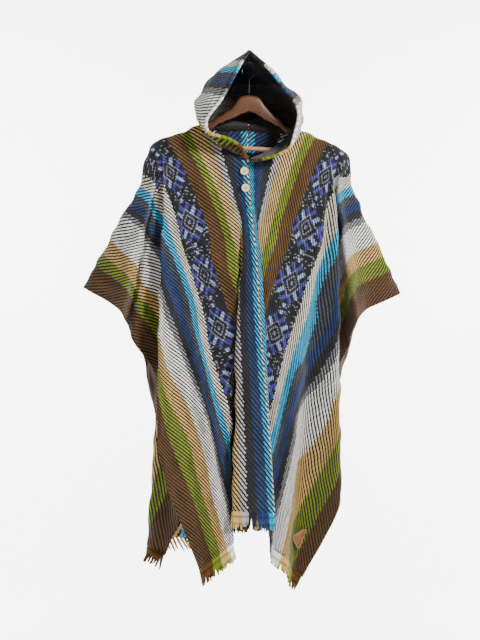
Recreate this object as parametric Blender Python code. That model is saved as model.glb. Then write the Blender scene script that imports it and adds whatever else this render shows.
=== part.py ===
"""Hooded blanket poncho hung on a wooden hanger, modelled as cut and sewn pieces.

Frame: the origin is the inner top of the hanger's hook, +Z is up and the front of the
poncho faces -Y.  Lengths are metres and angles are degrees.

Each half of the poncho is one rectangle of striped cloth.  A point of it is given by
u, its distance from the centre line, and v, its distance from the shoulder line,
positive on the front and negative on the back.  cloth_point() lays that rectangle over
the hanger: the cloth turns down the slope of the arm, two fans of folds start where the
neck slit ends, and another fan of folds starts at the end of the hanger's arm.
"""

import math

import bpy
import numpy as np

# Cloth as it is cut
HALF_WIDTH = 0.573
HALF_LENGTH = 1.030
CLOTH_WALL = 0.0024
SEAM_GAP = 0.0003
NECK_WIDTH = 0.072
NECK_FRONT_DROP = 0.138
NECK_BACK_DROP = 0.036
NECK_ROUNDING = (1.9, 0.85)

# Hanger
ARM_REACH_U = 0.158
SHOULDER_ROUNDING = 0.014
SHOULDER_STAND_OFF = 0.0125
# Stations of the hanger's body from its left end, in millimetres:
# x, height of the top, height of the underside, half the thickness
HANGER_STATIONS = [
    (-203, -198, -206, 4.0),
    (-197, -190, -208, 5.6),
    (-184, -183, -204, 6.0),
    (-160, -173, -194, 6.0),
    (-124, -165, -182, 6.0),
    (-96, -149, -168, 6.4),
    (-73, -133, -153, 7.5),
    (-52, -120, -144, 8.0),
    (-38, -106, -138, 8.5),
    (-28, -91, -133, 9.0),
    (-17, -83, -128, 9.0),
    (0, -81, -122, 9.0),
    (17, -83, -128, 9.0),
    (29, -91, -136, 9.0),
    (40, -107, -143, 8.5),
    (52, -121, -149, 8.0),
    (70, -137, -158, 7.5),
    (96, -160, -178, 6.4),
    (124, -180, -196, 6.0),
    (160, -191, -209, 6.0),
    (180, -197, -218, 6.0),
    (192, -204, -221, 5.6),
    (198, -210, -218, 4.0),
]
HANGER_CORNER = 0.45
HOOK_WIRE_RADIUS = 0.0018
HOOK_INNER_RADIUS = 0.0165
HOOK_FOOT = -0.0807
HOOK_ANGLES = (25, 50, 75, 100, 125, 150, 175, 200, 225, 250, 275, 300)
HOOK_SIDES = 8
BAR_RADIUS = 0.0056
BAR_HALF_LENGTH = 0.176
BAR_SIDES = 12
BAR_SEAT_GAP = 0.0003

# Where the shoulder of each half sits, how steep it is, and how the cloth leans out
SIDES = {
    "left": {"sign": -1.0, "end_x": 0.2070, "end_z": -0.1870, "slope": 21.7, "reach": 1.03},
    "right": {"sign": 1.0, "end_x": 0.2030, "end_z": -0.2000, "slope": 21.4, "reach": 1.0},
}
HEM_REACH = 0.972
HEM_REACH_FROM = 55.0
LEAN = {"front": 4.4, "back": -4.6}

# Folds that fan out from the end of the hanger's arm.
# cloth: angle in the cloth from the shoulder line, front positive, back negative
# view: angle from straight down as seen from the front, outwards positive
# depth: angle out of the plane of the hanger, towards the front positive
ARM_FOLDS = {
    "left": [
        # cloth, view, depth
        (-90.0, -21.7, -4.6),
        (-79.0, -8.6, -4.8),
        (-75.0, -3.4, -5.6),
        (-71.8, 2.8, -6.8),
        (-70.4, 3.2, -5.9),
        (-67.5, 0.8, -4.6),
        (-64.0, -1.4, -2.8),
        (-60.0, 0.6, -2.4),
        (-52.0, 4.8, -4.8),
        (-42.0, 7.2, -7.6),
        (-30.0, 9.5, -9.0),
        (-15.0, 17.5, -4.6),
        (0.0, 29.0, -0.5),
        (11.0, 20.0, 3.2),
        (20.0, 14.6, 4.6),
        (29.0, 11.8, -0.2),
        (37.0, 9.2, 1.6),
        (45.0, 3.6, 1.0),
        (51.0, 0.6, 2.6),
        (56.5, 2.0, 6.4),
        (61.5, 0.3, 6.2),
        (68.0, -4.4, 4.8),
        (74.0, -8.2, 5.0),
        (79.0, -10.7, 4.4),
        (90.0, -21.7, 4.4),
    ],
    "right": [
        (-90.0, -21.4, -4.6),
        (-79.0, -10.2, -4.8),
        (-74.0, -7.0, -5.4),
        (-67.0, -2.6, -7.0),
        (-60.0, 1.4, -6.4),
        (-53.0, 2.0, -3.6),
        (-46.0, 4.4, -3.0),
        (-36.0, 7.0, -6.6),
        (-24.0, 10.4, -8.4),
        (-13.0, 14.5, -4.4),
        (0.0, 25.0, -0.5),
        (13.0, 12.8, 2.4),
        (27.0, 7.2, 6.0),
        (37.0, 5.0, 1.2),
        (45.5, 1.8, -0.6),
        (51.0, 1.2, 1.6),
        (57.0, 2.7, 4.4),
        (60.4, 3.9, 6.0),
        (63.0, 3.3, 6.6),
        (65.5, 0.6, 5.2),
        (68.2, -2.9, 3.4),
        (74.5, -6.4, 4.8),
        (79.0, -10.4, 4.4),
        (90.0, -21.4, 4.4),
    ],
}
ARM_FOLDS_START = 0.13

# Folds that fan out below the neck slit and let the centre hang straight.
# cloth: angle in the cloth from the line of the stripes, outwards positive
# view: angle from straight down, outwards positive
# depth: angle from the lean of the panel, towards the outside of the poncho positive
SLIT_FOLDS = {
    "left": {
        "front": {
            "apex": (0.040, 0.228),
            "folds": [
                (-90.0, -111.7, 0.0),
                (-50.0, -58.0, 0.6),
                (-25.0, -27.0, 1.2),
                (-2.8, -4.4, 1.8),
                (1.8, 0.1, 1.8),
                (3.2, 1.2, 1.4),
                (4.2, 1.0, 0.8),
                (6.4, -0.6, 0.3),
                (8.8, -1.3, -1.5),
                (11.6, 0.1, -3.8),
                (14.4, 2.9, -4.8),
                (15.4, 3.7, -4.3),
                (16.4, 3.1, -3.6),
                (18.6, 1.5, -2.2),
                (20.6, 1.2, -0.6),
                (22.0, 1.4, 0.1),
                (23.4, 2.0, 0.2),
                (27.0, 5.3, 0.0),
                (90.0, 68.3, 0.0),
            ],
        },
        "back": {
            "apex": (0.050, 0.160),
            "folds": [
                (-90.0, -111.7, 0.0),
                (-50.0, -56.0, 0.4),
                (-25.0, -27.0, 0.8),
                (-3.3, -4.4, 1.4),
                (2.0, 0.8, 1.4),
                (3.2, 1.9, 1.0),
                (4.2, 1.6, 0.4),
                (6.2, -0.3, 0.1),
                (8.0, -0.9, -1.5),
                (10.6, 1.1, -3.2),
                (14.4, 4.8, -3.9),
                (15.4, 5.5, -3.5),
                (16.4, 4.8, -3.0),
                (19.6, 2.3, -1.9),
                (21.6, 1.6, -0.5),
                (23.2, 2.1, 0.1),
                (27.0, 5.3, 0.0),
                (90.0, 68.3, 0.0),
            ],
        },
    },
    "right": {
        "front": {
            "apex": (0.024, 0.212),
            "folds": [
                (-90.0, -111.4, 0.0),
                (-50.0, -52.0, 0.8),
                (-25.0, -21.5, 1.2),
                (-2.4, 1.5, 1.9),
                (-0.7, 2.6, 1.6),
                (0.8, 2.5, 0.8),
                (2.8, 1.4, 0.1),
                (4.8, 0.8, -1.4),
                (7.6, 1.6, -4.1),
                (11.0, 4.2, -5.4),
                (12.3, 4.9, -4.8),
                (13.5, 4.5, -3.9),
                (16.5, 2.9, -2.2),
                (19.5, 2.5, -0.6),
                (21.4, 2.7, 0.2),
                (23.2, 3.1, 0.2),
                (27.0, 5.6, 0.0),
                (90.0, 68.6, 0.0),
            ],
        },
        "back": {
            "apex": (0.050, 0.160),
            "folds": [
                (-90.0, -111.4, 0.0),
                (-50.0, -56.0, 0.4),
                (-25.0, -27.0, 0.8),
                (-3.3, -2.4, 1.4),
                (2.0, 2.6, 1.4),
                (3.2, 3.3, 1.2),
                (4.2, 3.1, 0.4),
                (6.2, 1.2, 0.1),
                (8.0, 0.6, -1.5),
                (10.6, 2.6, -3.2),
                (14.4, 5.9, -4.1),
                (15.4, 6.4, -3.6),
                (16.4, 5.9, -3.0),
                (19.6, 3.7, -1.9),
                (21.6, 3.0, -0.5),
                (23.4, 3.4, 0.1),
                (28.0, 6.6, 0.0),
                (90.0, 68.6, 0.0),
            ],
        },
    },
}
SLIT_FOLDS_START = 0.26
REACH_START = 0.3
CENTRE_RISE = 0.014
CENTRE_RISE_WITHIN = 12.0
SEAM_EASE = 0.045
# Where the centre seam is drawn to the left and rolls forward: v, sideways, forward
SEAM_ROLL = [
    (-1.03, 0.0, 0.0),
    (0.0, 0.0, 0.0),
    (0.15, 0.000, 0.001),
    (0.24, 0.000, 0.004),
    (0.32, 0.000, 0.007),
    (0.50, -0.007, 0.010),
    (0.75, 0.003, 0.009),
    (1.03, 0.014, 0.006),
]

SEAM_LOOK = 0.006
# Steps and weights that ease the folds to what the cells of a wall can follow
SOFTENING = ((-1.0, 1.0), (-0.5, 2.0), (0.0, 2.5), (0.5, 2.0), (1.0, 1.0))
SOFTEN_U = 0.040
SOFTEN_V = 0.040
SOFTEN_FROM = 0.06
PANEL_STEPS_U = 34
PANEL_STEPS_V = 22

FRINGE_DROP = 0.040
FRINGE_BAND = 0.008
FRINGE_SEAM = 0.0013
FRINGE_CELLS = 48
FRINGE_INSET = 0.002
FRINGE_THICKNESS = 0.0026
FRINGE_TAPER = 0.5
FRINGE_STIFFNESS = 0.9
FRINGE_UNEVEN = 0.06

HOOD_STEPS_AROUND = 15
HOOD_STEPS_UP = 13
HOOD_SIDE_AT = 0.42
HOOD_INSET = 0.91
HOOD_INSET_V = 0.955
HOOD_LIFT = 0.0030
HOOD_FRONT_GAP = 0.0060
HOOD_SEAM_ABOVE = -0.17
# Rings of the hood from the neck (0) to the crown seam (1), in millimetres (x, y, z):
# how far up, rim of the face opening, cheek, side, side of the back, centre of the back
HOOD_RINGS = {
    "left": [
        (0.08, (-17, -40, -220), (-62, -36, -215), (-126, -4, -146), (-85, 31, -134), (0, 34, -139)),
        (0.18, (-50, -56, -198), (-97, -42, -187), (-131, -8, -135), (-88, 44, -120), (0, 52, -125)),
        (0.28, (-97, -62, -185), (-122, -38, -160), (-133, -6, -122), (-92, 52, -100), (0, 62, -100)),
        (0.38, (-105, -62, -157), (-126, -34, -130), (-132, -2, -100), (-92, 56, -78), (0, 67, -75)),
        (0.55, (-69, -56, -101), (-110, -30, -88), (-122, 4, -77), (-84, 52, -52), (0, 64, -45)),
        (0.72, (-40, -48, -47), (-82, -26, -43), (-97, 6, -41), (-66, 44, -22), (0, 54, -15)),
        (0.88, (-19, -38, -7), (-45, -18, -5), (-50, 6, 1), (-36, 30, 8), (0, 40, 12)),
        (1.00, (0, -30, 24), (0, -16, 28), (0, 0, 29), (0, 18, 26), (0, 30, 20)),
    ],
    "right": [
        (0.08, (20, -44, -248), (74, -40, -226), (127, -8, -150), (94, 31, -134), (0, 34, -139)),
        (0.18, (58, -54, -241), (104, -48, -203), (131, -8, -143), (98, 44, -120), (0, 52, -125)),
        (0.28, (98, -58, -221), (120, -40, -185), (131, -4, -132), (98, 52, -100), (0, 62, -100)),
        (0.38, (112, -60, -184), (126, -36, -152), (132, 0, -112), (96, 56, -78), (0, 67, -75)),
        (0.55, (120, -54, -125), (128, -28, -108), (126, 4, -86), (86, 52, -52), (0, 64, -45)),
        (0.72, (87, -46, -75), (95, -20, -65), (93, 6, -58), (64, 44, -30), (0, 54, -15)),
        (0.88, (47, -36, -20), (52, -16, -15), (51, 6, -11), (36, 30, 0), (0, 40, 12)),
        (1.00, (0, -30, 24), (0, -16, 28), (0, 0, 29), (0, 18, 26), (0, 30, 20)),
    ],
}

BUTTON_RADIUS = 0.010
BUTTON_THICKNESS = 0.003
BUTTON_SIDES = 20
BUTTON_STAND_OFF = 0.0016
BUTTON_PLACES = {"button_upper": (0.011, 0.160), "button_lower": (0.011, 0.207)}
LABEL_CENTRE = (0.527, 0.945)
LABEL_CORNERS = ((0.006, -0.036), (-0.034, 0.014), (0.012, 0.026))
LABEL_ROUNDING = 0.22
LABEL_WALL = 0.002
LABEL_STAND_OFF = 0.0022


def clear_scene():
    """Remove what a new scene starts with."""
    for item in list(bpy.data.objects):
        bpy.data.objects.remove(item, do_unlink=True)


def make_material(name, colour, roughness, metallic=0.0):
    """One plain surface."""
    material = bpy.data.materials.new(name)
    material.use_nodes = True
    shader = material.node_tree.nodes["Principled BSDF"]
    shader.inputs["Base Color"].default_value = (*colour, 1.0)
    shader.inputs["Roughness"].default_value = roughness
    shader.inputs["Metallic"].default_value = metallic
    return material


def add_object(name, points, faces, material):
    """A smooth shaded mesh object whose place is in its mesh."""
    mesh = bpy.data.meshes.new(name)
    mesh.from_pydata([tuple(float(c) for c in p) for p in points], [], faces)
    mesh.validate()
    mesh.update()
    mesh.shade_smooth()
    mesh.materials.append(material)
    made = bpy.data.objects.new(name, mesh)
    bpy.context.scene.collection.objects.link(made)
    return made


def smooth_through(table, column, at):
    """A smooth curve through one column of a table, keyed by its first column."""
    keys = np.array([row[0] for row in table])
    values = np.array([row[column] for row in table])
    run = np.diff(keys)
    rise = np.diff(values) / run
    slope = np.empty_like(values)
    slope[0] = rise[0]
    slope[-1] = rise[-1]
    slope[1:-1] = (rise[:-1] * run[1:] + rise[1:] * run[:-1]) / (run[:-1] + run[1:])
    place = np.clip(at, keys[0], keys[-1])
    i = np.clip(np.searchsorted(keys, place, side="right") - 1, 0, len(run) - 1)
    t = (place - keys[i]) / run[i]
    h = run[i]
    return (
        (2 * t**3 - 3 * t**2 + 1) * values[i]
        + (t**3 - 2 * t**2 + t) * h * slope[i]
        + (3 * t**2 - 2 * t**3) * values[i + 1]
        + (t**3 - t**2) * h * slope[i + 1]
    )


def ease(x):
    """0 to 1 with soft ends."""
    x = np.clip(x, 0.0, 1.0)
    return x * x * (3 - 2 * x)


def heading(view, depth):
    """Unit vector (outwards, up, towards the front) of a fold line."""
    view = np.radians(view)
    depth = np.radians(depth)
    return np.stack(
        [np.sin(view) * np.cos(depth), -np.cos(view) * np.cos(depth), np.sin(depth)], axis=-1
    )


def draped(side, u, v):
    """Where a cloth point of one half hangs, before the centre seam is closed."""
    place = SIDES[side]
    u = np.asarray(u, dtype=float)
    v = np.asarray(v, dtype=float)
    front = v >= 0
    face = np.where(front, 1.0, -1.0)
    w = np.sqrt(v * v + SHOULDER_ROUNDING**2) - SHOULDER_ROUNDING
    out = u - ARM_REACH_U
    r = np.hypot(out, w)
    cloth = np.degrees(np.arctan2(w, out)) * face
    slope = place["slope"]

    flat_view = 90.0 - np.abs(cloth) - slope
    lean = np.where(front, LEAN["front"], LEAN["back"])
    flat_depth = lean * np.clip(w / np.maximum(r, 1e-9), 0, 1)
    view = flat_view
    depth = flat_depth
    folded = ease(r / ARM_FOLDS_START)
    fan = np.abs(cloth) < 90.0
    table = ARM_FOLDS[side]
    view = np.where(fan, flat_view + folded * (smooth_through(table, 1, cloth) - flat_view), view)
    depth = np.where(fan, flat_depth + folded * (smooth_through(table, 2, cloth) - flat_depth), depth)
    towards_hem = ease(np.abs(cloth) / HEM_REACH_FROM)
    full_reach = place["reach"] + (HEM_REACH - place["reach"]) * towards_hem
    reach = 1.0 + (full_reach - 1.0) * ease(r / REACH_START)
    offset = heading(view, depth) * (r * reach)[..., None]

    for name, chosen in (("front", front), ("back", ~front)):
        fan = SLIT_FOLDS[side][name]
        du = u - fan["apex"][0]
        dw = np.abs(v) - fan["apex"][1]
        rn = np.hypot(du, dw)
        angle = np.degrees(np.arctan2(du, dw))
        inside = chosen & (np.abs(angle) < 90.0)
        way = 1.0 if name == "front" else -1.0
        turned = heading(
            smooth_through(fan["folds"], 1, angle), way * smooth_through(fan["folds"], 2, angle)
        )
        straight = heading(angle - slope, 0.0 * angle)
        amount = np.where(inside, ease(rn / SLIT_FOLDS_START) * rn, 0.0)
        shorter = 1.0 - CENTRE_RISE * ease((CENTRE_RISE_WITHIN - np.abs(angle)) / CENTRE_RISE_WITHIN)
        turned = turned * shorter[..., None]
        offset = offset + (turned - straight) * (amount * HEM_REACH)[..., None]

    stand = SHOULDER_STAND_OFF * v / np.sqrt(v * v + SHOULDER_ROUNDING**2)
    x = place["sign"] * (place["end_x"] + offset[..., 0])
    y = -stand - offset[..., 2]
    z = place["end_z"] + offset[..., 1]
    return np.stack([x, y, z], axis=-1)


def cloth_point(side, u, v):
    """Where a cloth point hangs, with both halves meeting at the centre seam."""
    u = np.asarray(u, dtype=float)
    v = np.asarray(v, dtype=float)
    here = draped(side, u, v)
    middle = 0.5 * (draped("left", 0 * u, v) + draped("right", 0 * u, v))
    middle[..., 0] += smooth_through(SEAM_ROLL, 1, v)
    middle[..., 1] -= smooth_through(SEAM_ROLL, 2, v)
    closing = middle - draped(side, 0 * u, v)
    pull = np.exp(-((u / SEAM_EASE) ** 2))
    return here + closing * pull[..., None]


def soft_point(side, u, v):
    """cloth_point() eased over the size of one cell, for the walls of the solids."""
    total = 0.0
    spread = 0.0
    for du, weight_u in SOFTENING:
        for dv, weight_v in SOFTENING:
            near_u = u + du * np.minimum(SOFTEN_U, np.minimum(u, HALF_WIDTH - u))
            near_v = v + dv * SOFTEN_V * ease(np.abs(v) / SOFTEN_FROM - 1.0)
            total = total + weight_u * weight_v * cloth_point(side, near_u, near_v)
            spread += weight_u * weight_v
    return total / spread


def neck_edge(v):
    """Distance of the neck line from the centre at a given v."""
    drop = np.where(v >= 0, NECK_FRONT_DROP, NECK_BACK_DROP)
    t = np.clip(np.abs(v) / drop, 0.0, 1.0)
    a, b = NECK_ROUNDING
    return NECK_WIDTH * (1 - t**a) ** b


def closed_sheet(grid, wall, first_across=None):
    """Points and faces of a wall of even thickness about a grid of points.

    first_across replaces the direction across the first column where it isn't zero, so
    that two walls that meet there end in parallel faces.
    """
    rows, columns = grid.shape[:2]
    du = np.gradient(grid, axis=1)
    dv = np.gradient(grid, axis=0)
    if first_across is not None:
        given = np.linalg.norm(first_across, axis=1) > 0
        du[given, 0] = first_across[given]
    normal = np.cross(du, dv)
    length = np.linalg.norm(normal, axis=-1, keepdims=True)
    normal = normal / np.maximum(length, 1e-12)
    points = np.concatenate(
        [(grid + normal * wall / 2).reshape(-1, 3), (grid - normal * wall / 2).reshape(-1, 3)]
    )
    size = rows * columns

    def at(i, j, layer):
        return layer * size + i * columns + j

    faces = []
    for i in range(rows - 1):
        for j in range(columns - 1):
            faces.append((at(i, j, 0), at(i, j + 1, 0), at(i + 1, j + 1, 0), at(i + 1, j, 0)))
            faces.append((at(i, j, 1), at(i + 1, j, 1), at(i + 1, j + 1, 1), at(i, j + 1, 1)))
    ring = [(0, j) for j in range(columns)]
    ring += [(i, columns - 1) for i in range(1, rows)]
    ring += [(rows - 1, j) for j in range(columns - 2, -1, -1)]
    ring += [(i, 0) for i in range(rows - 2, 0, -1)]
    for k, (i, j) in enumerate(ring):
        m, n = ring[(k + 1) % len(ring)]
        faces.append((at(m, n, 0), at(i, j, 0), at(i, j, 1), at(m, n, 1)))
    return points, faces


def outward(points, faces):
    """Flip the faces when they point into the body."""
    volume = 0.0
    for face in faces:
        a = points[face[0]]
        for k in range(1, len(face) - 1):
            volume += float(np.dot(a, np.cross(points[face[k]], points[face[k + 1]])))
    return faces if volume > 0 else [tuple(reversed(face)) for face in faces]


def levels_of_v():
    """Levels from the back hem over the shoulder to the front hem, close at the neck."""
    near = np.array([0.012, 0.030, 0.055, 0.085, 0.113, 0.131, 0.1365])
    far = np.linspace(0.175, HALF_LENGTH, PANEL_STEPS_V - len(near))
    front = np.concatenate([near, far])
    back_near = np.array([0.010, 0.022, 0.031, 0.0355, 0.060, 0.095, 0.135])
    back = np.concatenate([back_near, far])
    return np.concatenate([-back[::-1], [0.0], front])


def panel(name, side, material):
    """One half of the poncho from the back hem over the shoulder to the front hem."""
    levels = levels_of_v()
    share = np.linspace(0.0, 1.0, PANEL_STEPS_U + 1)
    inner = np.maximum(neck_edge(levels), SEAM_GAP / 2)
    u = inner[:, None] + (HALF_WIDTH - inner)[:, None] * share[None, :]
    v = np.repeat(levels[:, None], len(share), axis=1)
    beside = np.full(len(levels), SEAM_LOOK)
    across = soft_point("right", beside, levels) - soft_point("left", beside, levels)
    across *= SIDES[side]["sign"]
    across[neck_edge(levels) > 0] = 0.0
    points, faces = closed_sheet(soft_point(side, u, v), CLOTH_WALL, across)
    return add_object(name, points, outward(points, faces), material)


def fringe(name, side, face, material):
    """A row of locks under one hem, joined by a narrow band at their roots."""
    share = np.linspace(0.0, 1.0, PANEL_STEPS_U + 1)
    width = SEAM_GAP / 2 + (HALF_WIDTH - SEAM_GAP / 2) * share
    levels = levels_of_v()
    above_v = levels[1] if face < 0 else levels[-2]
    hem_at = soft_point(side, width, np.full(len(width), face * HALF_LENGTH))
    above_at = soft_point(side, width, np.full(len(width), above_v))
    edge = np.linspace(FRINGE_INSET, HALF_WIDTH - FRINGE_INSET, FRINGE_CELLS + 1)
    hem = np.stack([np.interp(edge, width, hem_at[:, k]) for k in range(3)], axis=1)
    above = np.stack([np.interp(edge, width, above_at[:, k]) for k in range(3)], axis=1)
    down = hem - above
    down /= np.linalg.norm(down, axis=1, keepdims=True)
    along = np.gradient(hem, axis=0)
    along /= np.linalg.norm(along, axis=1, keepdims=True)
    thick = np.cross(along, down)
    thick *= (FRINGE_THICKNESS / 2) / np.linalg.norm(thick, axis=1, keepdims=True)
    top = hem + down * FRINGE_SEAM
    low = hem + down * FRINGE_BAND
    points = list(np.concatenate([top + thick, top - thick, low + thick, low - thick]))
    count = FRINGE_CELLS + 1
    faces = []
    for i in range(FRINGE_CELLS):
        a, b = i, i + 1
        faces.append((a, b, count + b, count + a))
        faces.append((a, 2 * count + a, 2 * count + b, b))
        faces.append((count + a, count + b, 3 * count + b, 3 * count + a))
        root = (2 * count + a, 3 * count + a, 3 * count + b, 2 * count + b)
        if i % 2:
            faces.append(root)
            continue
        middle = sum(points[k] for k in root) / 4
        drop = FRINGE_STIFFNESS * down[i] + (1 - FRINGE_STIFFNESS) * np.array([0.0, 0.0, -1.0])
        drop *= (FRINGE_DROP - FRINGE_BAND) * (1 + FRINGE_UNEVEN * math.sin(7.0 * i))
        start = len(points)
        for k in root:
            points.append(middle + drop + FRINGE_TAPER * (points[k] - middle))
        tip = tuple(range(start, start + 4))
        faces.append(tip)
        for k in range(4):
            m = (k + 1) % 4
            faces.append((root[k], root[m], tip[m], tip[k]))
    faces.append((0, count, 3 * count, 2 * count))
    faces.append((count - 1, 3 * count - 1, 4 * count - 1, 2 * count - 1))
    points = np.array(points)
    return add_object(name, points, outward(points, faces), material)


def neck_line(side, s):
    """The foot of the hood, just inside the neck edge, from the front centre to the back."""
    turn = np.clip(s / HOOD_SIDE_AT, 0.0, 1.0) * math.pi / 2
    back = np.clip((s - HOOD_SIDE_AT) / (1 - HOOD_SIDE_AT), 0.0, 1.0) * math.pi / 2
    v = NECK_FRONT_DROP * np.cos(turn) - NECK_BACK_DROP * np.sin(back)
    front = np.clip(v / NECK_FRONT_DROP, 0.0, 1.0)
    u = np.maximum(neck_edge(v) * HOOD_INSET, SEAM_GAP + HOOD_FRONT_GAP * front)
    foot = soft_point(side, u, v * HOOD_INSET_V)
    foot[:, 2] += HOOD_LIFT
    return foot


def hood_surface(side, s, t):
    """Grid of points of one half of the hood: s from the rim to the back, t from the neck up."""
    columns = np.array([0.0, 0.2, HOOD_SIDE_AT, 0.72, 1.0])
    keys = [0.0]
    rings = [neck_line(side, s)]
    for row in HOOD_RINGS[side]:
        keys.append(row[0])
        ring = [
            smooth_through([(c, p[k]) for c, p in zip(columns, row[1:])], 1, s) for k in range(3)
        ]
        rings.append(np.stack(ring, axis=1) * 0.001)
    rings = np.array(rings)
    grid = np.empty((len(t), len(s), 3))
    for j in range(len(s)):
        for k in range(3):
            grid[:, j, k] = smooth_through(list(zip(keys, rings[:, j, k])), 1, t)
    return grid


def hood_half(name, side, material):
    """One shaped half of the hood, open at the rim."""
    s = np.linspace(0.0, 1.0, HOOD_STEPS_AROUND + 1)
    t = np.linspace(0.0, 1.0, HOOD_STEPS_UP + 1)
    grid = hood_surface(side, s, t)
    points, faces = closed_sheet(grid, CLOTH_WALL)
    sign = SIDES[side]["sign"]
    seam = points[:, 2] > HOOD_SEAM_ABOVE
    points[seam, 0] = sign * np.maximum(sign * points[seam, 0], SEAM_GAP / 2)
    return add_object(name, points, outward(points, faces), material)


def disc(name, centre, radius, wall, sides, material):
    """A button facing the front."""
    turn = np.linspace(0, 2 * math.pi, sides, endpoint=False)
    rings = [
        (radius * 0.86, -wall / 2),
        (radius, -wall / 6),
        (radius, wall / 4),
        (radius * 0.9, wall / 2),
    ]
    points = []
    for r, y in rings:
        points += [(centre[0] + r * math.cos(a), centre[1] + y, centre[2] + r * math.sin(a)) for a in turn]
    points = np.array(points)
    faces = [tuple(range(sides))]
    for i in range(len(rings) - 1):
        for j in range(sides):
            k = (j + 1) % sides
            faces.append((i * sides + j, (i + 1) * sides + j, (i + 1) * sides + k, i * sides + k))
    last = (len(rings) - 1) * sides
    faces.append(tuple(range(last + sides - 1, last - 1, -1)))
    return add_object(name, points, outward(points, faces), material)


def label(name, material):
    """The blank leather tab on the front of the right panel."""
    corners = [np.array(LABEL_CENTRE) + np.array(c) for c in LABEL_CORNERS]
    outline = []
    for k, corner in enumerate(corners):
        before = corners[k - 1] - corner
        after = corners[(k + 1) % 3] - corner
        for share in (0.0, 0.33, 0.67, 1.0):
            pull = LABEL_ROUNDING * ((1 - share) ** 2 * before + share**2 * after)
            outline.append(corner + pull)
    outline = np.array(outline)
    n = len(outline)
    centre = np.array(LABEL_CENTRE)
    spot = np.concatenate([centre + share * (outline - centre) for share in (1.0, 0.6, 0.2)])
    at = soft_point("right", spot[:, 0], spot[:, 1])
    middle = at.mean(axis=0)
    across = np.linalg.svd(at - middle)[2]
    facing = across[2] if across[2][1] < 0 else -across[2]
    level = ((at - middle) @ facing).max() + CLOTH_WALL / 2 + LABEL_STAND_OFF
    flat = at[:n] - np.outer((at[:n] - middle) @ facing, facing)
    points = np.concatenate([flat + facing * level, flat + facing * (level + LABEL_WALL)])
    faces = [tuple(range(n)), tuple(range(2 * n - 1, n - 1, -1))]
    for j in range(n):
        k = (j + 1) % n
        faces.append((j, n + j, n + k, k))
    return add_object(name, points, outward(points, faces), material)


def ring_faces(rings, sides):
    """Faces of a closed body made of rings of points."""
    faces = [tuple(range(sides - 1, -1, -1))]
    for i in range(rings - 1):
        for j in range(sides):
            k = (j + 1) % sides
            faces.append((i * sides + j, i * sides + k, (i + 1) * sides + k, (i + 1) * sides + j))
    last = (rings - 1) * sides
    faces.append(tuple(range(last, last + sides)))
    return faces


def tube(path, radius_a, radius_b, sides, lift):
    """Points and faces of a closed bar of elliptical section along a path."""
    path = np.asarray(path, dtype=float)
    run = np.gradient(path, axis=0)
    run /= np.linalg.norm(run, axis=1, keepdims=True)
    lift = np.asarray(lift, dtype=float)
    side = np.cross(run, lift)
    side /= np.linalg.norm(side, axis=1, keepdims=True)
    up = np.cross(side, run)
    turn = np.linspace(0, 2 * math.pi, sides, endpoint=False)
    radius_a = np.broadcast_to(radius_a, len(path))
    radius_b = np.broadcast_to(radius_b, len(path))
    rings = (
        path[:, None, :]
        + side[:, None, :] * (np.cos(turn)[None, :] * radius_a[:, None])[..., None]
        + up[:, None, :] * (np.sin(turn)[None, :] * radius_b[:, None])[..., None]
    )
    points = rings.reshape(-1, 3)
    return points, outward(points, ring_faces(len(path), sides))


def hanger(wood, light_wood, metal):
    """The hanger's body, its trouser bar and its hook."""
    stations = np.array(HANGER_STATIONS) * 0.001
    x, top, low, half = stations.T
    inset = HANGER_CORNER * half
    outline = [
        (-half + inset, top), (half - inset, top), (half, top - inset), (half, low + inset),
        (half - inset, low), (-half + inset, low), (-half, low + inset), (-half, top - inset),
    ]
    rings = np.stack([np.stack([x, y, z], axis=1) for y, z in outline], axis=1)
    points = rings.reshape(-1, 3)
    faces = ring_faces(len(x), len(outline))
    add_object("hanger_body", points, outward(points, faces), wood)
    ends = []
    for end in (-BAR_HALF_LENGTH, BAR_HALF_LENGTH):
        underside = np.interp(end, x, low)
        ends.append(np.array([end, 0.0, underside - BAR_RADIUS - BAR_SEAT_GAP]))
    points, faces = tube(
        [ends[0], 0.5 * (ends[0] + ends[1]), ends[1]],
        BAR_RADIUS,
        BAR_RADIUS,
        BAR_SIDES,
        (0, 0, 1),
    )
    add_object("hanger_bar", points, faces, light_wood)
    loop = HOOK_INNER_RADIUS + HOOK_WIRE_RADIUS
    centre = -HOOK_INNER_RADIUS
    path = [(0, 0, HOOK_FOOT), (0, 0, 0.5 * (HOOK_FOOT + centre - loop)), (0, 0, centre - loop * 1.25)]
    for angle in np.radians(HOOK_ANGLES):
        path.append((loop * math.sin(angle), 0, centre - loop * math.cos(angle)))
    points, faces = tube(path, HOOK_WIRE_RADIUS, HOOK_WIRE_RADIUS, HOOK_SIDES, (0, 1, 0))
    add_object("hanger_hook", points, faces, metal)


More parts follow.
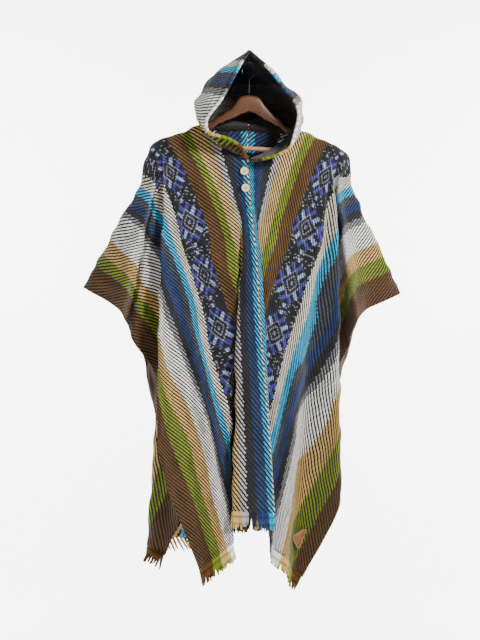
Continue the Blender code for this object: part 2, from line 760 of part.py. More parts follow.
def main():
    """Build every piece."""
    clear_scene()
    cloth = make_material("striped_cloth", (0.28, 0.22, 0.20), 0.9)
    yarn = make_material("fringe_yarn", (0.45, 0.40, 0.34), 0.95)
    panel("left_panel", "left", cloth)
    panel("right_panel", "right", cloth)
    for side in SIDES:
        fringe(f"{side}_front_fringe", side, 1.0, yarn)
        fringe(f"{side}_back_fringe", side, -1.0, yarn)
        hood_half(f"hood_{side}", side, cloth)
    bone = make_material("button", (0.75, 0.68, 0.55), 0.4)
    for name, (u, v) in BUTTON_PLACES.items():
        at = soft_point("left", np.array([u]), np.array([v]))[0]
        at[1] -= CLOTH_WALL / 2 + BUTTON_THICKNESS / 2 + BUTTON_STAND_OFF
        disc(name, at, BUTTON_RADIUS, BUTTON_THICKNESS, BUTTON_SIDES, bone)
    label("leather_label", make_material("leather", (0.45, 0.27, 0.14), 0.6))
    hanger(
        make_material("hanger_wood", (0.23, 0.09, 0.04), 0.4),
        make_material("bar_wood", (0.55, 0.38, 0.22), 0.5),
        make_material("hook_metal", (0.6, 0.6, 0.6), 0.3, 1.0),
    )


main()
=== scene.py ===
import math

import bmesh
import bpy
import numpy as np
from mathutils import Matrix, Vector


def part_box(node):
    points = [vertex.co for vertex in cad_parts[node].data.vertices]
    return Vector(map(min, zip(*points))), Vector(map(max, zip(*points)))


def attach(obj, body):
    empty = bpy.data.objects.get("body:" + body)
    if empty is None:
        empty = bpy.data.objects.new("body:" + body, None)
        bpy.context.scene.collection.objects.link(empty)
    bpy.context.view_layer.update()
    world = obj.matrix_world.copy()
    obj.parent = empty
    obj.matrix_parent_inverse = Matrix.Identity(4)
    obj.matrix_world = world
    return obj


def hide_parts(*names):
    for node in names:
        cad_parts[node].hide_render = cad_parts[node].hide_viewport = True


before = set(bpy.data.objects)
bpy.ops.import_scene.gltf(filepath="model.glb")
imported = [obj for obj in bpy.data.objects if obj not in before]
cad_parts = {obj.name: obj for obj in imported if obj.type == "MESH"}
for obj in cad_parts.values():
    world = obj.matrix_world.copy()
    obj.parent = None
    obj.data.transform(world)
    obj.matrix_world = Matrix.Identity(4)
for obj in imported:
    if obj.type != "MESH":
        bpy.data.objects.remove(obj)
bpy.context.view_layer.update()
mm = 0.001
tiny = 1e-12  # keeps a division by a length of nought safe
print("frame loaded")

# A point of a half is u from the centre and v from the shoulder line, front positive.
cut = {
    "halfWidth": 0.573,
    "halfLength": 1.030,
    "neckWidth": 0.072,
    "neckFrontDrop": 0.138,
    "neckBackDrop": 0.036,
    "neckRounding": (1.9, 0.85),
    "slitEnd": 0.275,
    "seamGap": 0.0003,
    "wall": 0.0024,
}

# How each half hangs: its shoulder's end on the hanger, its slope and its lean
hang = {
    "left": {"sign": -1.0, "endX": 0.2070, "endZ": -0.1870, "slope": 21.7, "reach": 1.03},
    "right": {"sign": 1.0, "endX": 0.2030, "endZ": -0.2000, "slope": 21.4, "reach": 1.0},
    "armReach": 0.158,
    "shoulderRounding": 0.014,
    "standOff": 0.0125,
    "leanFront": 4.4,
    "leanBack": -4.6,
    "hemReach": 0.972,
    "hemReachFrom": 55.0,
    "armFoldsStart": 0.13,
    "slitFoldsStart": 0.26,
    "reachStart": 0.3,
    "centreRise": 0.014,
    "centreRiseWithin": 12.0,
    "seamEase": 0.045,
}

# Folds that fan out from the end of the hanger's arm: the angle in the cloth from the
# shoulder line, the angle seen from the front and the angle out of the hanger's plane
armFolds = {
    "left": [
        # cloth, view, depth
        (-90.0, -21.7, -4.6),
        (-79.0, -8.6, -4.8),
        (-75.0, -3.4, -5.6),
        (-71.8, 2.8, -6.8),
        (-70.4, 3.2, -5.9),
        (-67.5, 0.8, -4.6),
        (-64.0, -1.4, -2.8),
        (-60.0, 0.6, -2.4),
        (-52.0, 4.8, -4.8),
        (-42.0, 7.2, -7.6),
        (-30.0, 9.5, -9.0),
        (-15.0, 17.5, -4.6),
        (0.0, 29.0, -0.5),
        (11.0, 20.0, 3.2),
        (20.0, 14.6, 4.6),
        (29.0, 11.8, -0.2),
        (37.0, 9.2, 1.6),
        (45.0, 3.6, 1.0),
        (51.0, 0.6, 2.6),
        (56.5, 2.0, 6.4),
        (61.5, 0.3, 6.2),
        (68.0, -4.4, 4.8),
        (74.0, -8.2, 5.0),
        (79.0, -10.7, 4.4),
        (90.0, -21.7, 4.4),
    ],
    "right": [
        (-90.0, -21.4, -4.6),
        (-79.0, -10.2, -4.8),
        (-74.0, -7.0, -5.4),
        (-67.0, -2.6, -7.0),
        (-60.0, 1.4, -6.4),
        (-53.0, 2.0, -3.6),
        (-46.0, 4.4, -3.0),
        (-36.0, 7.0, -6.6),
        (-24.0, 10.4, -8.4),
        (-13.0, 14.5, -4.4),
        (0.0, 25.0, -0.5),
        (13.0, 12.8, 2.4),
        (27.0, 7.2, 6.0),
        (37.0, 5.0, 1.2),
        (45.5, 1.8, -0.6),
        (51.0, 1.2, 1.6),
        (57.0, 2.7, 4.4),
        (60.4, 3.9, 6.0),
        (63.0, 3.3, 6.6),
        (65.5, 0.6, 5.2),
        (68.2, -2.9, 3.4),
        (74.5, -6.4, 4.8),
        (79.0, -10.4, 4.4),
        (90.0, -21.4, 4.4),
    ],
}

# Folds that fan out below the neck slit, outwards positive, in the same three angles
slitFolds = {
    "left": {
        "front": {
            "apex": (0.040, 0.228),
            "folds": [
                (-90.0, -111.7, 0.0),
                (-50.0, -58.0, 0.6),
                (-25.0, -27.0, 1.2),
                (-2.8, -4.4, 1.8),
                (1.8, 0.1, 1.8),
                (3.2, 1.2, 1.4),
                (4.2, 1.0, 0.8),
                (6.4, -0.6, 0.3),
                (8.8, -1.3, -1.5),
                (11.6, 0.1, -3.8),
                (14.4, 2.9, -4.8),
                (15.4, 3.7, -4.3),
                (16.4, 3.1, -3.6),
                (18.6, 1.5, -2.2),
                (20.6, 1.2, -0.6),
                (22.0, 1.4, 0.1),
                (23.4, 2.0, 0.2),
                (27.0, 5.3, 0.0),
                (90.0, 68.3, 0.0),
            ],
        },
        "back": {
            "apex": (0.050, 0.160),
            "folds": [
                (-90.0, -111.7, 0.0),
                (-50.0, -56.0, 0.4),
                (-25.0, -27.0, 0.8),
                (-3.3, -4.4, 1.4),
                (2.0, 0.8, 1.4),
                (3.2, 1.9, 1.0),
                (4.2, 1.6, 0.4),
                (6.2, -0.3, 0.1),
                (8.0, -0.9, -1.5),
                (10.6, 1.1, -3.2),
                (14.4, 4.8, -3.9),
                (15.4, 5.5, -3.5),
                (16.4, 4.8, -3.0),
                (19.6, 2.3, -1.9),
                (21.6, 1.6, -0.5),
                (23.2, 2.1, 0.1),
                (27.0, 5.3, 0.0),
                (90.0, 68.3, 0.0),
            ],
        },
    },
    "right": {
        "front": {
            "apex": (0.024, 0.212),
            "folds": [
                (-90.0, -111.4, 0.0),
                (-50.0, -52.0, 0.8),
                (-25.0, -21.5, 1.2),
                (-3.2, 2.0, 1.8),
                (-1.9, 3.1, 1.5),
                (-0.9, 2.9, 0.9),
                (1.6, 1.0, 0.4),
                (4.0, 0.0, -1.2),
                (7.6, 1.4, -3.9),
                (11.0, 4.7, -5.2),
                (12.3, 5.7, -4.7),
                (13.5, 5.0, -4.0),
                (16.5, 2.9, -2.6),
                (19.5, 2.5, -0.6),
                (21.4, 2.7, 0.2),
                (23.2, 3.1, 0.2),
                (27.0, 5.6, 0.0),
                (90.0, 68.6, 0.0),
            ],
        },
        "back": {
            "apex": (0.050, 0.160),
            "folds": [
                (-90.0, -111.4, 0.0),
                (-50.0, -56.0, 0.4),
                (-25.0, -27.0, 0.8),
                (-3.3, -2.4, 1.4),
                (2.0, 2.6, 1.4),
                (3.2, 3.5, 1.0),
                (4.2, 3.1, 0.4),
                (6.2, 1.2, 0.1),
                (8.0, 0.6, -1.5),
                (10.6, 2.6, -3.2),
                (14.4, 6.3, -3.9),
                (15.4, 7.0, -3.5),
                (16.4, 6.3, -3.0),
                (19.6, 3.7, -1.9),
                (21.6, 3.0, -0.5),
                (23.4, 3.4, 0.1),
                (28.0, 6.6, 0.0),
                (90.0, 68.6, 0.0),
            ],
        },
    },
}

# Where the centre seam is drawn aside and rolls forward: v, sideways, forward
seamRoll = [
    (-1.03, 0.0, 0.0),
    (0.0, 0.0, 0.0),
    (0.15, 0.000, 0.001),
    (0.24, 0.004, 0.004),
    (0.32, 0.008, 0.006),
    (0.50, 0.006, 0.009),
    (0.75, 0.011, 0.008),
    (1.03, 0.016, 0.005),
]

# Rings of the hood from the neck to the crown seam, in millimetres (x, y, z):
# how far up, rim of the face opening, cheek, side, side of the back, centre of the back
hoodRings = {
    "left": [
        (0.08, (-17, -40, -220), (-62, -36, -215), (-126, -4, -146), (-85, 31, -134), (0, 34, -139)),
        (0.18, (-50, -56, -198), (-97, -42, -187), (-131, -8, -135), (-88, 44, -120), (0, 52, -125)),
        (0.28, (-97, -62, -185), (-122, -38, -160), (-133, -6, -122), (-92, 52, -100), (0, 62, -100)),
        (0.38, (-105, -62, -157), (-126, -34, -130), (-132, -2, -100), (-92, 56, -78), (0, 67, -75)),
        (0.55, (-69, -56, -101), (-110, -30, -88), (-122, 4, -77), (-84, 52, -52), (0, 64, -45)),
        (0.72, (-40, -48, -47), (-82, -26, -43), (-97, 6, -41), (-66, 44, -22), (0, 54, -15)),
        (0.88, (-19, -38, -7), (-45, -18, -5), (-50, 6, 1), (-36, 30, 8), (0, 40, 12)),
        (1.00, (0, -30, 24), (0, -16, 28), (0, 0, 29), (0, 18, 26), (0, 30, 20)),
    ],
    "right": [
        (0.08, (20, -44, -248), (74, -40, -226), (127, -8, -150), (94, 31, -134), (0, 34, -139)),
        (0.18, (58, -54, -241), (104, -48, -203), (131, -8, -143), (98, 44, -120), (0, 52, -125)),
        (0.28, (98, -58, -221), (120, -40, -185), (131, -4, -132), (98, 52, -100), (0, 62, -100)),
        (0.38, (112, -60, -184), (126, -36, -152), (132, 0, -112), (96, 56, -78), (0, 67, -75)),
        (0.55, (120, -54, -125), (128, -28, -108), (126, 4, -86), (86, 52, -52), (0, 64, -45)),
        (0.72, (87, -46, -75), (95, -20, -65), (93, 6, -58), (64, 44, -30), (0, 54, -15)),
        (0.88, (47, -36, -20), (52, -16, -15), (51, 6, -11), (36, 30, 0), (0, 40, 12)),
        (1.00, (0, -30, 24), (0, -16, 28), (0, 0, 29), (0, 18, 26), (0, 30, 20)),
    ],
}

# Stations of the hanger's body, in millimetres: x, top, underside, half the thickness
hangerStations = [
    (-203, -198, -206, 4.0),
    (-197, -190, -208, 5.6),
    (-184, -183, -204, 6.0),
    (-160, -173, -194, 6.0),
    (-124, -165, -182, 6.0),
    (-96, -149, -168, 6.4),
    (-73, -133, -153, 7.5),
    (-52, -120, -144, 8.0),
    (-38, -106, -138, 8.5),
    (-28, -91, -133, 9.0),
    (-17, -83, -128, 9.0),
    (0, -81, -122, 9.0),
    (17, -83, -128, 9.0),
    (29, -91, -136, 9.0),
    (40, -107, -143, 8.5),
    (52, -121, -149, 8.0),
    (70, -137, -158, 7.5),
    (96, -160, -178, 6.4),
    (124, -180, -196, 6.0),
    (160, -191, -209, 6.0),
    (180, -197, -218, 6.0),
    (192, -204, -221, 5.6),
    (198, -210, -218, 4.0),
]


# A smooth curve through a table's rows: one column, read at any places of the first
def smoothThrough(table, column, at):
    keys = np.array([row[0] for row in table])
    values = np.array([row[column] for row in table])
    run = np.diff(keys)
    rise = np.diff(values) / run
    slope = np.empty_like(values)
    slope[0] = rise[0]
    slope[-1] = rise[-1]
    slope[1:-1] = (rise[:-1] * run[1:] + rise[1:] * run[:-1]) / (run[:-1] + run[1:])
    place = np.clip(at, keys[0], keys[-1])
    i = np.clip(np.searchsorted(keys, place, side="right") - 1, 0, len(run) - 1)
    t = (place - keys[i]) / run[i]
    h = run[i]
    return (
        (2 * t**3 - 3 * t**2 + 1) * values[i]
        + (t**3 - 2 * t**2 + t) * h * slope[i]
        + (3 * t**2 - 2 * t**3) * values[i + 1]
        + (t**3 - t**2) * h * slope[i + 1]
    )


def ease(x):
    x = np.clip(x, 0.0, 1.0)
    return x * x * (3 - 2 * x)


def heading(view, depth):
    view = np.radians(view)
    depth = np.radians(depth)
    return np.stack(
        [np.sin(view) * np.cos(depth), -np.cos(view) * np.cos(depth), np.sin(depth)], axis=-1
    )


# Where a cloth point of one half hangs, before the centre seam is closed
def draped(side, u, v):
    place = hang[side]
    front = v >= 0
    face = np.where(front, 1.0, -1.0)
    w = np.sqrt(v * v + hang["shoulderRounding"] ** 2) - hang["shoulderRounding"]
    out = u - hang["armReach"]
    r = np.hypot(out, w)
    cloth = np.degrees(np.arctan2(w, out)) * face
    slope = place["slope"]
    flatView = 90.0 - np.abs(cloth) - slope
    lean = np.where(front, hang["leanFront"], hang["leanBack"])
    flatDepth = lean * np.clip(w / np.maximum(r, tiny), 0, 1)
    folded = ease(r / hang["armFoldsStart"])
    fan = np.abs(cloth) < 90.0
    table = armFolds[side]
    view = np.where(fan, flatView + folded * (smoothThrough(table, 1, cloth) - flatView), flatView)
    depth = np.where(fan, flatDepth + folded * (smoothThrough(table, 2, cloth) - flatDepth), flatDepth)
    towardsHem = ease(np.abs(cloth) / hang["hemReachFrom"])
    fullReach = place["reach"] + (hang["hemReach"] - place["reach"]) * towardsHem
    reach = 1.0 + (fullReach - 1.0) * ease(r / hang["reachStart"])
    offset = heading(view, depth) * (r * reach)[..., None]
    for name, chosen, way in (("front", front, 1.0), ("back", ~front, -1.0)):
        slit = slitFolds[side][name]
        du = u - slit["apex"][0]
        dw = np.abs(v) - slit["apex"][1]
        rn = np.hypot(du, dw)
        angle = np.degrees(np.arctan2(du, dw))
        turned = heading(
            smoothThrough(slit["folds"], 1, angle), way * smoothThrough(slit["folds"], 2, angle)
        )
        straight = heading(angle - slope, 0.0 * angle)
        amount = np.where(chosen & (np.abs(angle) < 90.0), ease(rn / hang["slitFoldsStart"]) * rn, 0.0)
        near = (hang["centreRiseWithin"] - np.abs(angle)) / hang["centreRiseWithin"]
        turned = turned * (1.0 - hang["centreRise"] * ease(near))[..., None]
        offset = offset + (turned - straight) * (amount * hang["hemReach"])[..., None]
    stand = hang["standOff"] * v / np.sqrt(v * v + hang["shoulderRounding"] ** 2)
    x = place["sign"] * (place["endX"] + offset[..., 0])
    return np.stack([x, -stand - offset[..., 2], place["endZ"] + offset[..., 1]], axis=-1)


# The same point with both halves drawn together at the centre seam
def clothPoint(side, u, v):
    u = np.asarray(u, dtype=float)
    v = np.asarray(v, dtype=float)
    middle = 0.5 * (draped("left", 0 * u, v) + draped("right", 0 * u, v))
    middle[..., 0] += smoothThrough(seamRoll, 1, v)
    middle[..., 1] -= smoothThrough(seamRoll, 2, v)
    closing = middle - draped(side, 0 * u, v)
    pull = np.exp(-((u / hang["seamEase"]) ** 2))
    return draped(side, u, v) + closing * pull[..., None]


# How far the neck opening reaches to one side at a level v
def neckEdge(v):
    drop = np.where(v >= 0, cut["neckFrontDrop"], cut["neckBackDrop"])
    t = np.clip(np.abs(v) / drop, 0.0, 1.0)
    a, b = cut["neckRounding"]
    return cut["neckWidth"] * (1 - t**a) ** b


# Colours are written as sRGB hex and used as linear light
def linear(hexCode):
    values = [int(hexCode[i : i + 2], 16) / 255 for i in (1, 3, 5)]
    return [c / 12.92 if c <= 0.04045 else ((c + 0.055) / 1.055) ** 2.4 for c in values] + [1.0]


def addNode(tree, kind, values=None, **settings):
    made = tree.nodes.new(kind)
    for key, value in settings.items():
        setattr(made, key, value)
    for key, value in (values or {}).items():
        if isinstance(value, bpy.types.NodeSocket):
            tree.links.new(value, made.inputs[key])
        else:
            made.inputs[key].default_value = value
    return made


def calc(tree, operation, a, b=0.0):
    return addNode(tree, "ShaderNodeMath", {0: a, 1: b}, operation=operation).outputs[0]


def plus(tree, a, b):
    return calc(tree, "ADD", a, b)


def times(tree, a, b):
    return calc(tree, "MULTIPLY", a, b)


# A value between 0 and 1 made into a swing about nought
def swing(tree, value, size):
    return times(tree, calc(tree, "SUBTRACT", value, 0.5), size)


def mixColour(tree, share, a, b, blend="MIX"):
    made = addNode(tree, "ShaderNodeMix", {0: share, 6: a, 7: b}, data_type="RGBA", blend_type=blend)
    return made.outputs[2]


def between(tree, value, low, high):
    made = addNode(tree, "ShaderNodeMapRange", {0: value, 1: low, 2: high}, interpolation_type="SMOOTHSTEP")
    return made.outputs[0]


def noise(tree, where, scale, detail=2.0, roughness=0.5):
    made = addNode(
        tree, "ShaderNodeTexNoise",
        {"Vector": where, "Scale": scale, "Detail": detail, "Roughness": roughness},
    )
    return made.outputs[0]


def objectPlace(tree):
    return addNode(tree, "ShaderNodeTexCoord").outputs["Object"]


# The two values of one of the cloth's own maps
def mapped(tree, name):
    uv = addNode(tree, "ShaderNodeUVMap", uv_map=name).outputs[0]
    parts = addNode(tree, "ShaderNodeSeparateXYZ", {0: uv})
    return parts.outputs[0], parts.outputs[1]


def grey(tree, level):
    return addNode(tree, "ShaderNodeCombineColor", {0: level, 1: level, 2: level}).outputs[0]


# Flat colours from a table of where each starts, along a value from nought to the span
def flatRamp(tree, value, rows, span):
    made = addNode(tree, "ShaderNodeValToRGB", {0: calc(tree, "DIVIDE", value, span)})
    ramp = made.color_ramp
    ramp.interpolation = "CONSTANT"
    for i, (start, colour) in enumerate(rows):
        stop = ramp.elements[0] if i == 0 else ramp.elements.new(start / span)
        stop.position = start / span
        stop.color = linear(colour)
    ramp.elements.remove(ramp.elements[-1])  # the new ramp's own end colour
    return made.outputs[0]


def newMaterial(name, roughness):
    material = bpy.data.materials.new(name)
    material.use_nodes = True
    shader = material.node_tree.nodes["Principled BSDF"]
    shader.inputs["Roughness"].default_value = roughness
    return material, material.node_tree, shader


def setBump(tree, shader, height, distance, strength=1.0):
    bump = addNode(tree, "ShaderNodeBump", {"Height": height, "Distance": distance, "Strength": strength})
    tree.links.new(bump.outputs[0], shader.inputs["Normal"])


# Stripes from the centre to the selvedge: outer edge in mm, yarn colour
stripes = [
    (2, "#D2C7AC"),
    (13, "#0893BA"),
    (32, "#14305C"),
    (47, "#1C1C22"),
    (62, "#A9A6A3"),
    (97, "#C2A263"),
    (120, "#74800F"),
    (158, "#5C3B0B"),
    (253, "#25262E"),
    (278, "#D2CBB9"),
    (298, "#069FCB"),
    (318, "#3A3D45"),
    (338, "#173163"),
    (358, "#1D1C21"),
    (375, "#75757A"),
    (433, "#E4E1DA"),
    (470, "#BE9853"),
    (510, "#6C780D"),
    (573, "#54350A"),
]
stripeSpan = 0.6  # metres of cloth that the colour ramp covers

weave = {
    "ribPitch": {"left": 0.0078, "right": 0.0061},
    "ribLean": 0.625,
    "wander": 0.22,
    "wanderScale": 30.0,
    # Yarn floats along each rib, and how far on the next rib's floats start
    "floatLength": 0.011,
    "floatStep": 0.37,
    "floatLift": 0.22,
    "fuzz": 0.34,
    "fuzzScale": 420.0,
    "blotchScale": 60.0,
    # How ragged the edges of the stripes are, in metres
    "jag": 0.0045,
    "blotchJag": 0.004,
    "yarnFrom": 0.42,
    "yarnFull": 0.55,
    "gapColour": "#060507",
    "darkest": 0.62,
    "brighter": 0.76,
    "bandCover": 0.40,
    "relief": {"ridge": 0.8, "float": 0.25, "fuzz": 0.35},
    "bumpDepth": 0.0019,
    "bumpStrength": 0.9,
}

# The patterned band: medallions of stepped diamonds, in cells of the weave
band = {
    "from": 0.158,
    "to": 0.253,
    "cellAcross": 0.0048,
    "cellAlong": 0.0050,
    "halfPeriod": 14.0,
    "cells": 24.0,  # more than a medallion has from its middle to its corner
    "startBelow": 2.0,  # metres added along the cloth, so that no count is negative
    "ground": "#34363F",
    "black": "#0E0D12",
    "grey": "#6C6F7E",
    "indigo": "#3D3B8C",
    "lavender": "#8C98D8",
    "speckle": "#777985",
    "speckShare": 0.13,
    "specksAcross": 165.0,
    "specksAlong": 330.0,
    "ringFrom": 6.5,
    "ringTo": 12.5,
    "chunk": 6.0,
    "paleChunk": 1.6,
    "deepChunk": 4.2,
}


def stripeColour(tree, u):
    starts = [0.0] + [edge * mm for edge, colour in stripes[:-1]]
    colours = [colour for edge, colour in stripes]
    return flatRamp(tree, u, list(zip(starts, colours)), stripeSpan)


def bandColour(tree, u, v):
    middle = 0.5 * (band["from"] + band["to"])
    across = calc(tree, "DIVIDE", calc(tree, "SUBTRACT", u, middle), band["cellAcross"])
    across = calc(tree, "FLOOR", calc(tree, "ABSOLUTE", across))
    along = calc(tree, "DIVIDE", plus(tree, v, band["startBelow"]), band["cellAlong"])
    along = calc(tree, "FLOOR", calc(tree, "PINGPONG", along, band["halfPeriod"]))
    reach = plus(tree, across, along)
    # The medallion's steps from its middle out: first cell, colour
    rows = [
        (0, band["grey"]), (1, band["black"]), (3, band["grey"]), (4, band["black"]),
        (6, band["grey"]), (7, band["black"]), (12, band["ground"]), (13, band["black"]),
    ]
    colour = flatRamp(tree, plus(tree, reach, 0.5), rows, band["cells"])
    # Coloured bits sit on the ring round each diamond, broken into short steps
    beyond = calc(tree, "GREATER_THAN", reach, band["ringFrom"])
    ring = times(tree, beyond, calc(tree, "LESS_THAN", reach, band["ringTo"]))
    broken = plus(tree, calc(tree, "SUBTRACT", across, along), band["cells"])
    broken = calc(tree, "PINGPONG", broken, band["chunk"])
    pale = times(tree, ring, calc(tree, "LESS_THAN", broken, band["paleChunk"]))
    deep = times(tree, ring, calc(tree, "GREATER_THAN", broken, band["deepChunk"]))
    colour = mixColour(tree, deep, colour, linear(band["indigo"]))
    colour = mixColour(tree, pale, colour, linear(band["lavender"]))
    # Pale specks fill the ground between the medallions
    speckU = calc(tree, "FLOOR", times(tree, u, band["specksAcross"]))
    speckV = calc(tree, "FLOOR", times(tree, v, band["specksAlong"]))
    cell = addNode(tree, "ShaderNodeCombineXYZ", {0: speckU, 1: speckV}).outputs[0]
    dots = addNode(tree, "ShaderNodeTexWhiteNoise", {0: cell}, noise_dimensions="3D").outputs[0]
    outer = calc(tree, "GREATER_THAN", reach, band["ringTo"])
    specks = times(tree, outer, calc(tree, "GREATER_THAN", dots, 1.0 - band["speckShare"]))
    return mixColour(tree, specks, colour, linear(band["speckle"]))


def clothMaterial(name):
    material, tree, shader = newMaterial(name, 0.93)
    shader.inputs["Sheen Weight"].default_value = 0.12
    shader.inputs["Sheen Roughness"].default_value = 0.6
    shader.inputs["Specular IOR Level"].default_value = 0.25
    where = objectPlace(tree)
    u, v = mapped(tree, "cloth")
    count, along = mapped(tree, "weave")
    wander = noise(tree, where, weave["wanderScale"])
    count = plus(tree, count, times(tree, wander, weave["wander"]))
    rib = calc(tree, "FLOOR", count)
    ridge = calc(tree, "PINGPONG", times(tree, count, 2.0), 1.0)
    lay = calc(tree, "DIVIDE", along, weave["floatLength"])
    lay = plus(tree, lay, times(tree, rib, weave["floatStep"]))
    crest = calc(tree, "PINGPONG", times(tree, lay, 2.0), 1.0)
    fuzz = noise(tree, where, weave["fuzzScale"], 3.0, 0.7)
    blotch = noise(tree, where, weave["blotchScale"], 3.0, 0.6)
    level = plus(tree, ridge, swing(tree, fuzz, weave["fuzz"]))
    level = plus(tree, level, swing(tree, crest, weave["floatLift"]))
    yarn = between(tree, level, weave["yarnFrom"], weave["yarnFull"])
    shift = plus(tree, swing(tree, crest, weave["jag"]), swing(tree, blotch, weave["blotchJag"]))
    stripeU = plus(tree, u, shift)
    colour = stripeColour(tree, stripeU)
    beyond = calc(tree, "GREATER_THAN", stripeU, band["from"])
    inBand = times(tree, beyond, calc(tree, "LESS_THAN", stripeU, band["to"]))
    colour = mixColour(tree, inBand, colour, bandColour(tree, u, v))
    # Uneven dye, and painted shade from the shade map: the hood's shadow drawn on the hood's inside and on
    # the back near the neck
    shade = plus(tree, weave["darkest"], times(tree, blotch, weave["brighter"]))
    shade = times(tree, shade, mapped(tree, "shade")[0])
    colour = mixColour(tree, 1.0, colour, grey(tree, shade), "MULTIPLY")
    cover = calc(tree, "MAXIMUM", yarn, times(tree, inBand, weave["bandCover"]))
    colour = mixColour(tree, cover, linear(weave["gapColour"]), colour)
    tree.links.new(colour, shader.inputs["Base Color"])
    relief = weave["relief"]
    height = plus(tree, times(tree, ridge, relief["ridge"]), times(tree, crest, relief["float"]))
    height = plus(tree, height, times(tree, fuzz, relief["fuzz"]))
    setBump(tree, shader, height, weave["bumpDepth"], weave["bumpStrength"])
    return material


looseYarn = {
    "fringeTurns": 1.2,
    "rimTurns": 1.33,
    "perMetre": 100.0,
    "strandsRound": 2.0,
    "fuzz": 0.3,
    "fuzzScale": 500.0,
    "darkUntil": 0.15,
    "brightFrom": 0.6,
    "darkest": 0.35,
    "brighter": 0.65,
    "fuzzRelief": 0.5,
    "bumpDepth": 0.0012,
}


# Loose yarn in the colour of its stripe, for the fringes and the rolled rim
def yarnMaterial(name, turns):
    material, tree, shader = newMaterial(name, 0.95)
    shader.inputs["Sheen Weight"].default_value = 0.15
    shader.inputs["Specular IOR Level"].default_value = 0.2
    where = objectPlace(tree)
    u = mapped(tree, "cloth")[0]
    along, around = mapped(tree, "weave")
    twist = plus(tree, times(tree, along, turns), times(tree, around, looseYarn["strandsRound"]))
    strand = calc(tree, "PINGPONG", twist, 1.0)
    fuzz = noise(tree, where, looseYarn["fuzzScale"], 3.0, 0.7)
    colour = stripeColour(tree, u)
    # Each ply is drawn darker towards the grooves of the twist: painted shade
    lit = plus(tree, strand, times(tree, fuzz, looseYarn["fuzz"]))
    lit = between(tree, lit, looseYarn["darkUntil"], looseYarn["brightFrom"])
    tone = grey(tree, plus(tree, looseYarn["darkest"], times(tree, lit, looseYarn["brighter"])))
    tree.links.new(mixColour(tree, 1.0, colour, tone, "MULTIPLY"), shader.inputs["Base Color"])
    relief = plus(tree, strand, times(tree, fuzz, looseYarn["fuzzRelief"]))
    setBump(tree, shader, relief, looseYarn["bumpDepth"])
    return material


def plainMaterial(name, colour, roughness, grain=300.0, depth=0.0003, darkest=0.6):
    material, tree, shader = newMaterial(name, roughness)
    speck = noise(tree, objectPlace(tree), grain, 3.0, 0.6)
    dark = [c * darkest for c in linear(colour)[:3]] + [1.0]
    tree.links.new(mixColour(tree, speck, dark, linear(colour)), shader.inputs["Base Color"])
    setBump(tree, shader, speck, depth)
    return material


# Puts a mesh in the scene; the node is the solid that it replaces, if any
def link(name, mesh, material, node):
    mesh.materials.append(material)
    mesh.shade_smooth()
    made = bpy.data.objects.new(name, mesh)
    bpy.context.scene.collection.objects.link(made)
    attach(made, "root")
    if node:
        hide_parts(node)
    return made


def setUv(mesh, name, perPoint):
    layer = mesh.uv_layers.new(name=name)
    loops = np.empty(len(mesh.loops), dtype=np.int32)
    mesh.loops.foreach_get("vertex_index", loops)
    layer.data.foreach_set("uv", perPoint[loops].astype(np.float32).ravel())


def meshOf(name, points, faces):
    mesh = bpy.data.meshes.new(name)
    mesh.from_pydata(points.tolist(), [], faces)
    mesh.update()
    bm = bmesh.new()
    bm.from_mesh(mesh)
    bmesh.ops.recalc_face_normals(bm, faces=bm.faces)
    bm.to_mesh(mesh)
    bm.free()
    return mesh


def gridNormals(grid, firstAcross=None):
    du = np.gradient(grid, axis=1)
    dv = np.gradient(grid, axis=0)
    if firstAcross is not None:
        given = np.linalg.norm(firstAcross, axis=1) > 0
        du[given, 0] = firstAcross[given]
    normal = np.cross(du, dv)
    return normal / np.maximum(np.linalg.norm(normal, axis=-1, keepdims=True), tiny)


# A closed wall of even thickness about a grid of points; shades are painted shade, how bright the yarn
# is drawn on the side the normals point to and on the other
def wallMesh(name, grid, cloth, ribs, wall, normal, shades):
    rows, columns = grid.shape[:2]
    points = np.concatenate([(grid + way * normal * wall / 2).reshape(-1, 3) for way in (1, -1)])
    size = rows * columns
    at = np.arange(size).reshape(rows, columns)
    outer = np.stack([at[:-1, :-1], at[:-1, 1:], at[1:, 1:], at[1:, :-1]], axis=-1).reshape(-1, 4)
    ring = np.concatenate([at[0, :], at[1:, -1], at[-1, -2::-1], at[-2:0:-1, 0]])
    after = np.roll(ring, -1)
    rim = np.stack([after, ring, ring + size, after + size], axis=1)
    faces = np.concatenate([outer, outer[:, ::-1] + size, rim]).tolist()
    mesh = meshOf(name, points, faces)
    setUv(mesh, "cloth", np.tile(cloth.reshape(-1, 2), (2, 1)))
    setUv(mesh, "weave", np.tile(ribs.reshape(-1, 2), (2, 1)))
    bright = np.concatenate([np.broadcast_to(s, (rows, columns)).ravel() for s in shades])
    setUv(mesh, "shade", np.stack([bright, 0 * bright], axis=1))
    return mesh


# Soft uneven troughs that no fold line carries, as a height along the cloth's normal
rumple = {
    "waves": [
        # across per metre, along per metre, phase, height
        (9.0, 3.1, 0.4, 0.0016),
        (17.0, -4.3, 1.9, 0.0011),
        (5.3, 8.9, 2.6, 0.0012),
        (27.0, 6.1, 0.8, 0.0007),
        (-12.0, 14.5, 4.1, 0.0007),
    ],
    "fromNeck": 0.05,
    # The cloth lies flat where the leather tab is sewn on
    "flatAt": (0.527, 0.945),
    "flatWithin": 0.060,
    "flatShare": 0.7,
}


def rumpled(u, v, seed):
    height = 0.0 * u
    for across, along, phase, size in rumple["waves"]:
        height = height + size * np.sin(2 * math.pi * (across * u + along * v) + phase + seed)
    return height * ease(np.hypot(u, v) / rumple["fromNeck"] - 1.0)


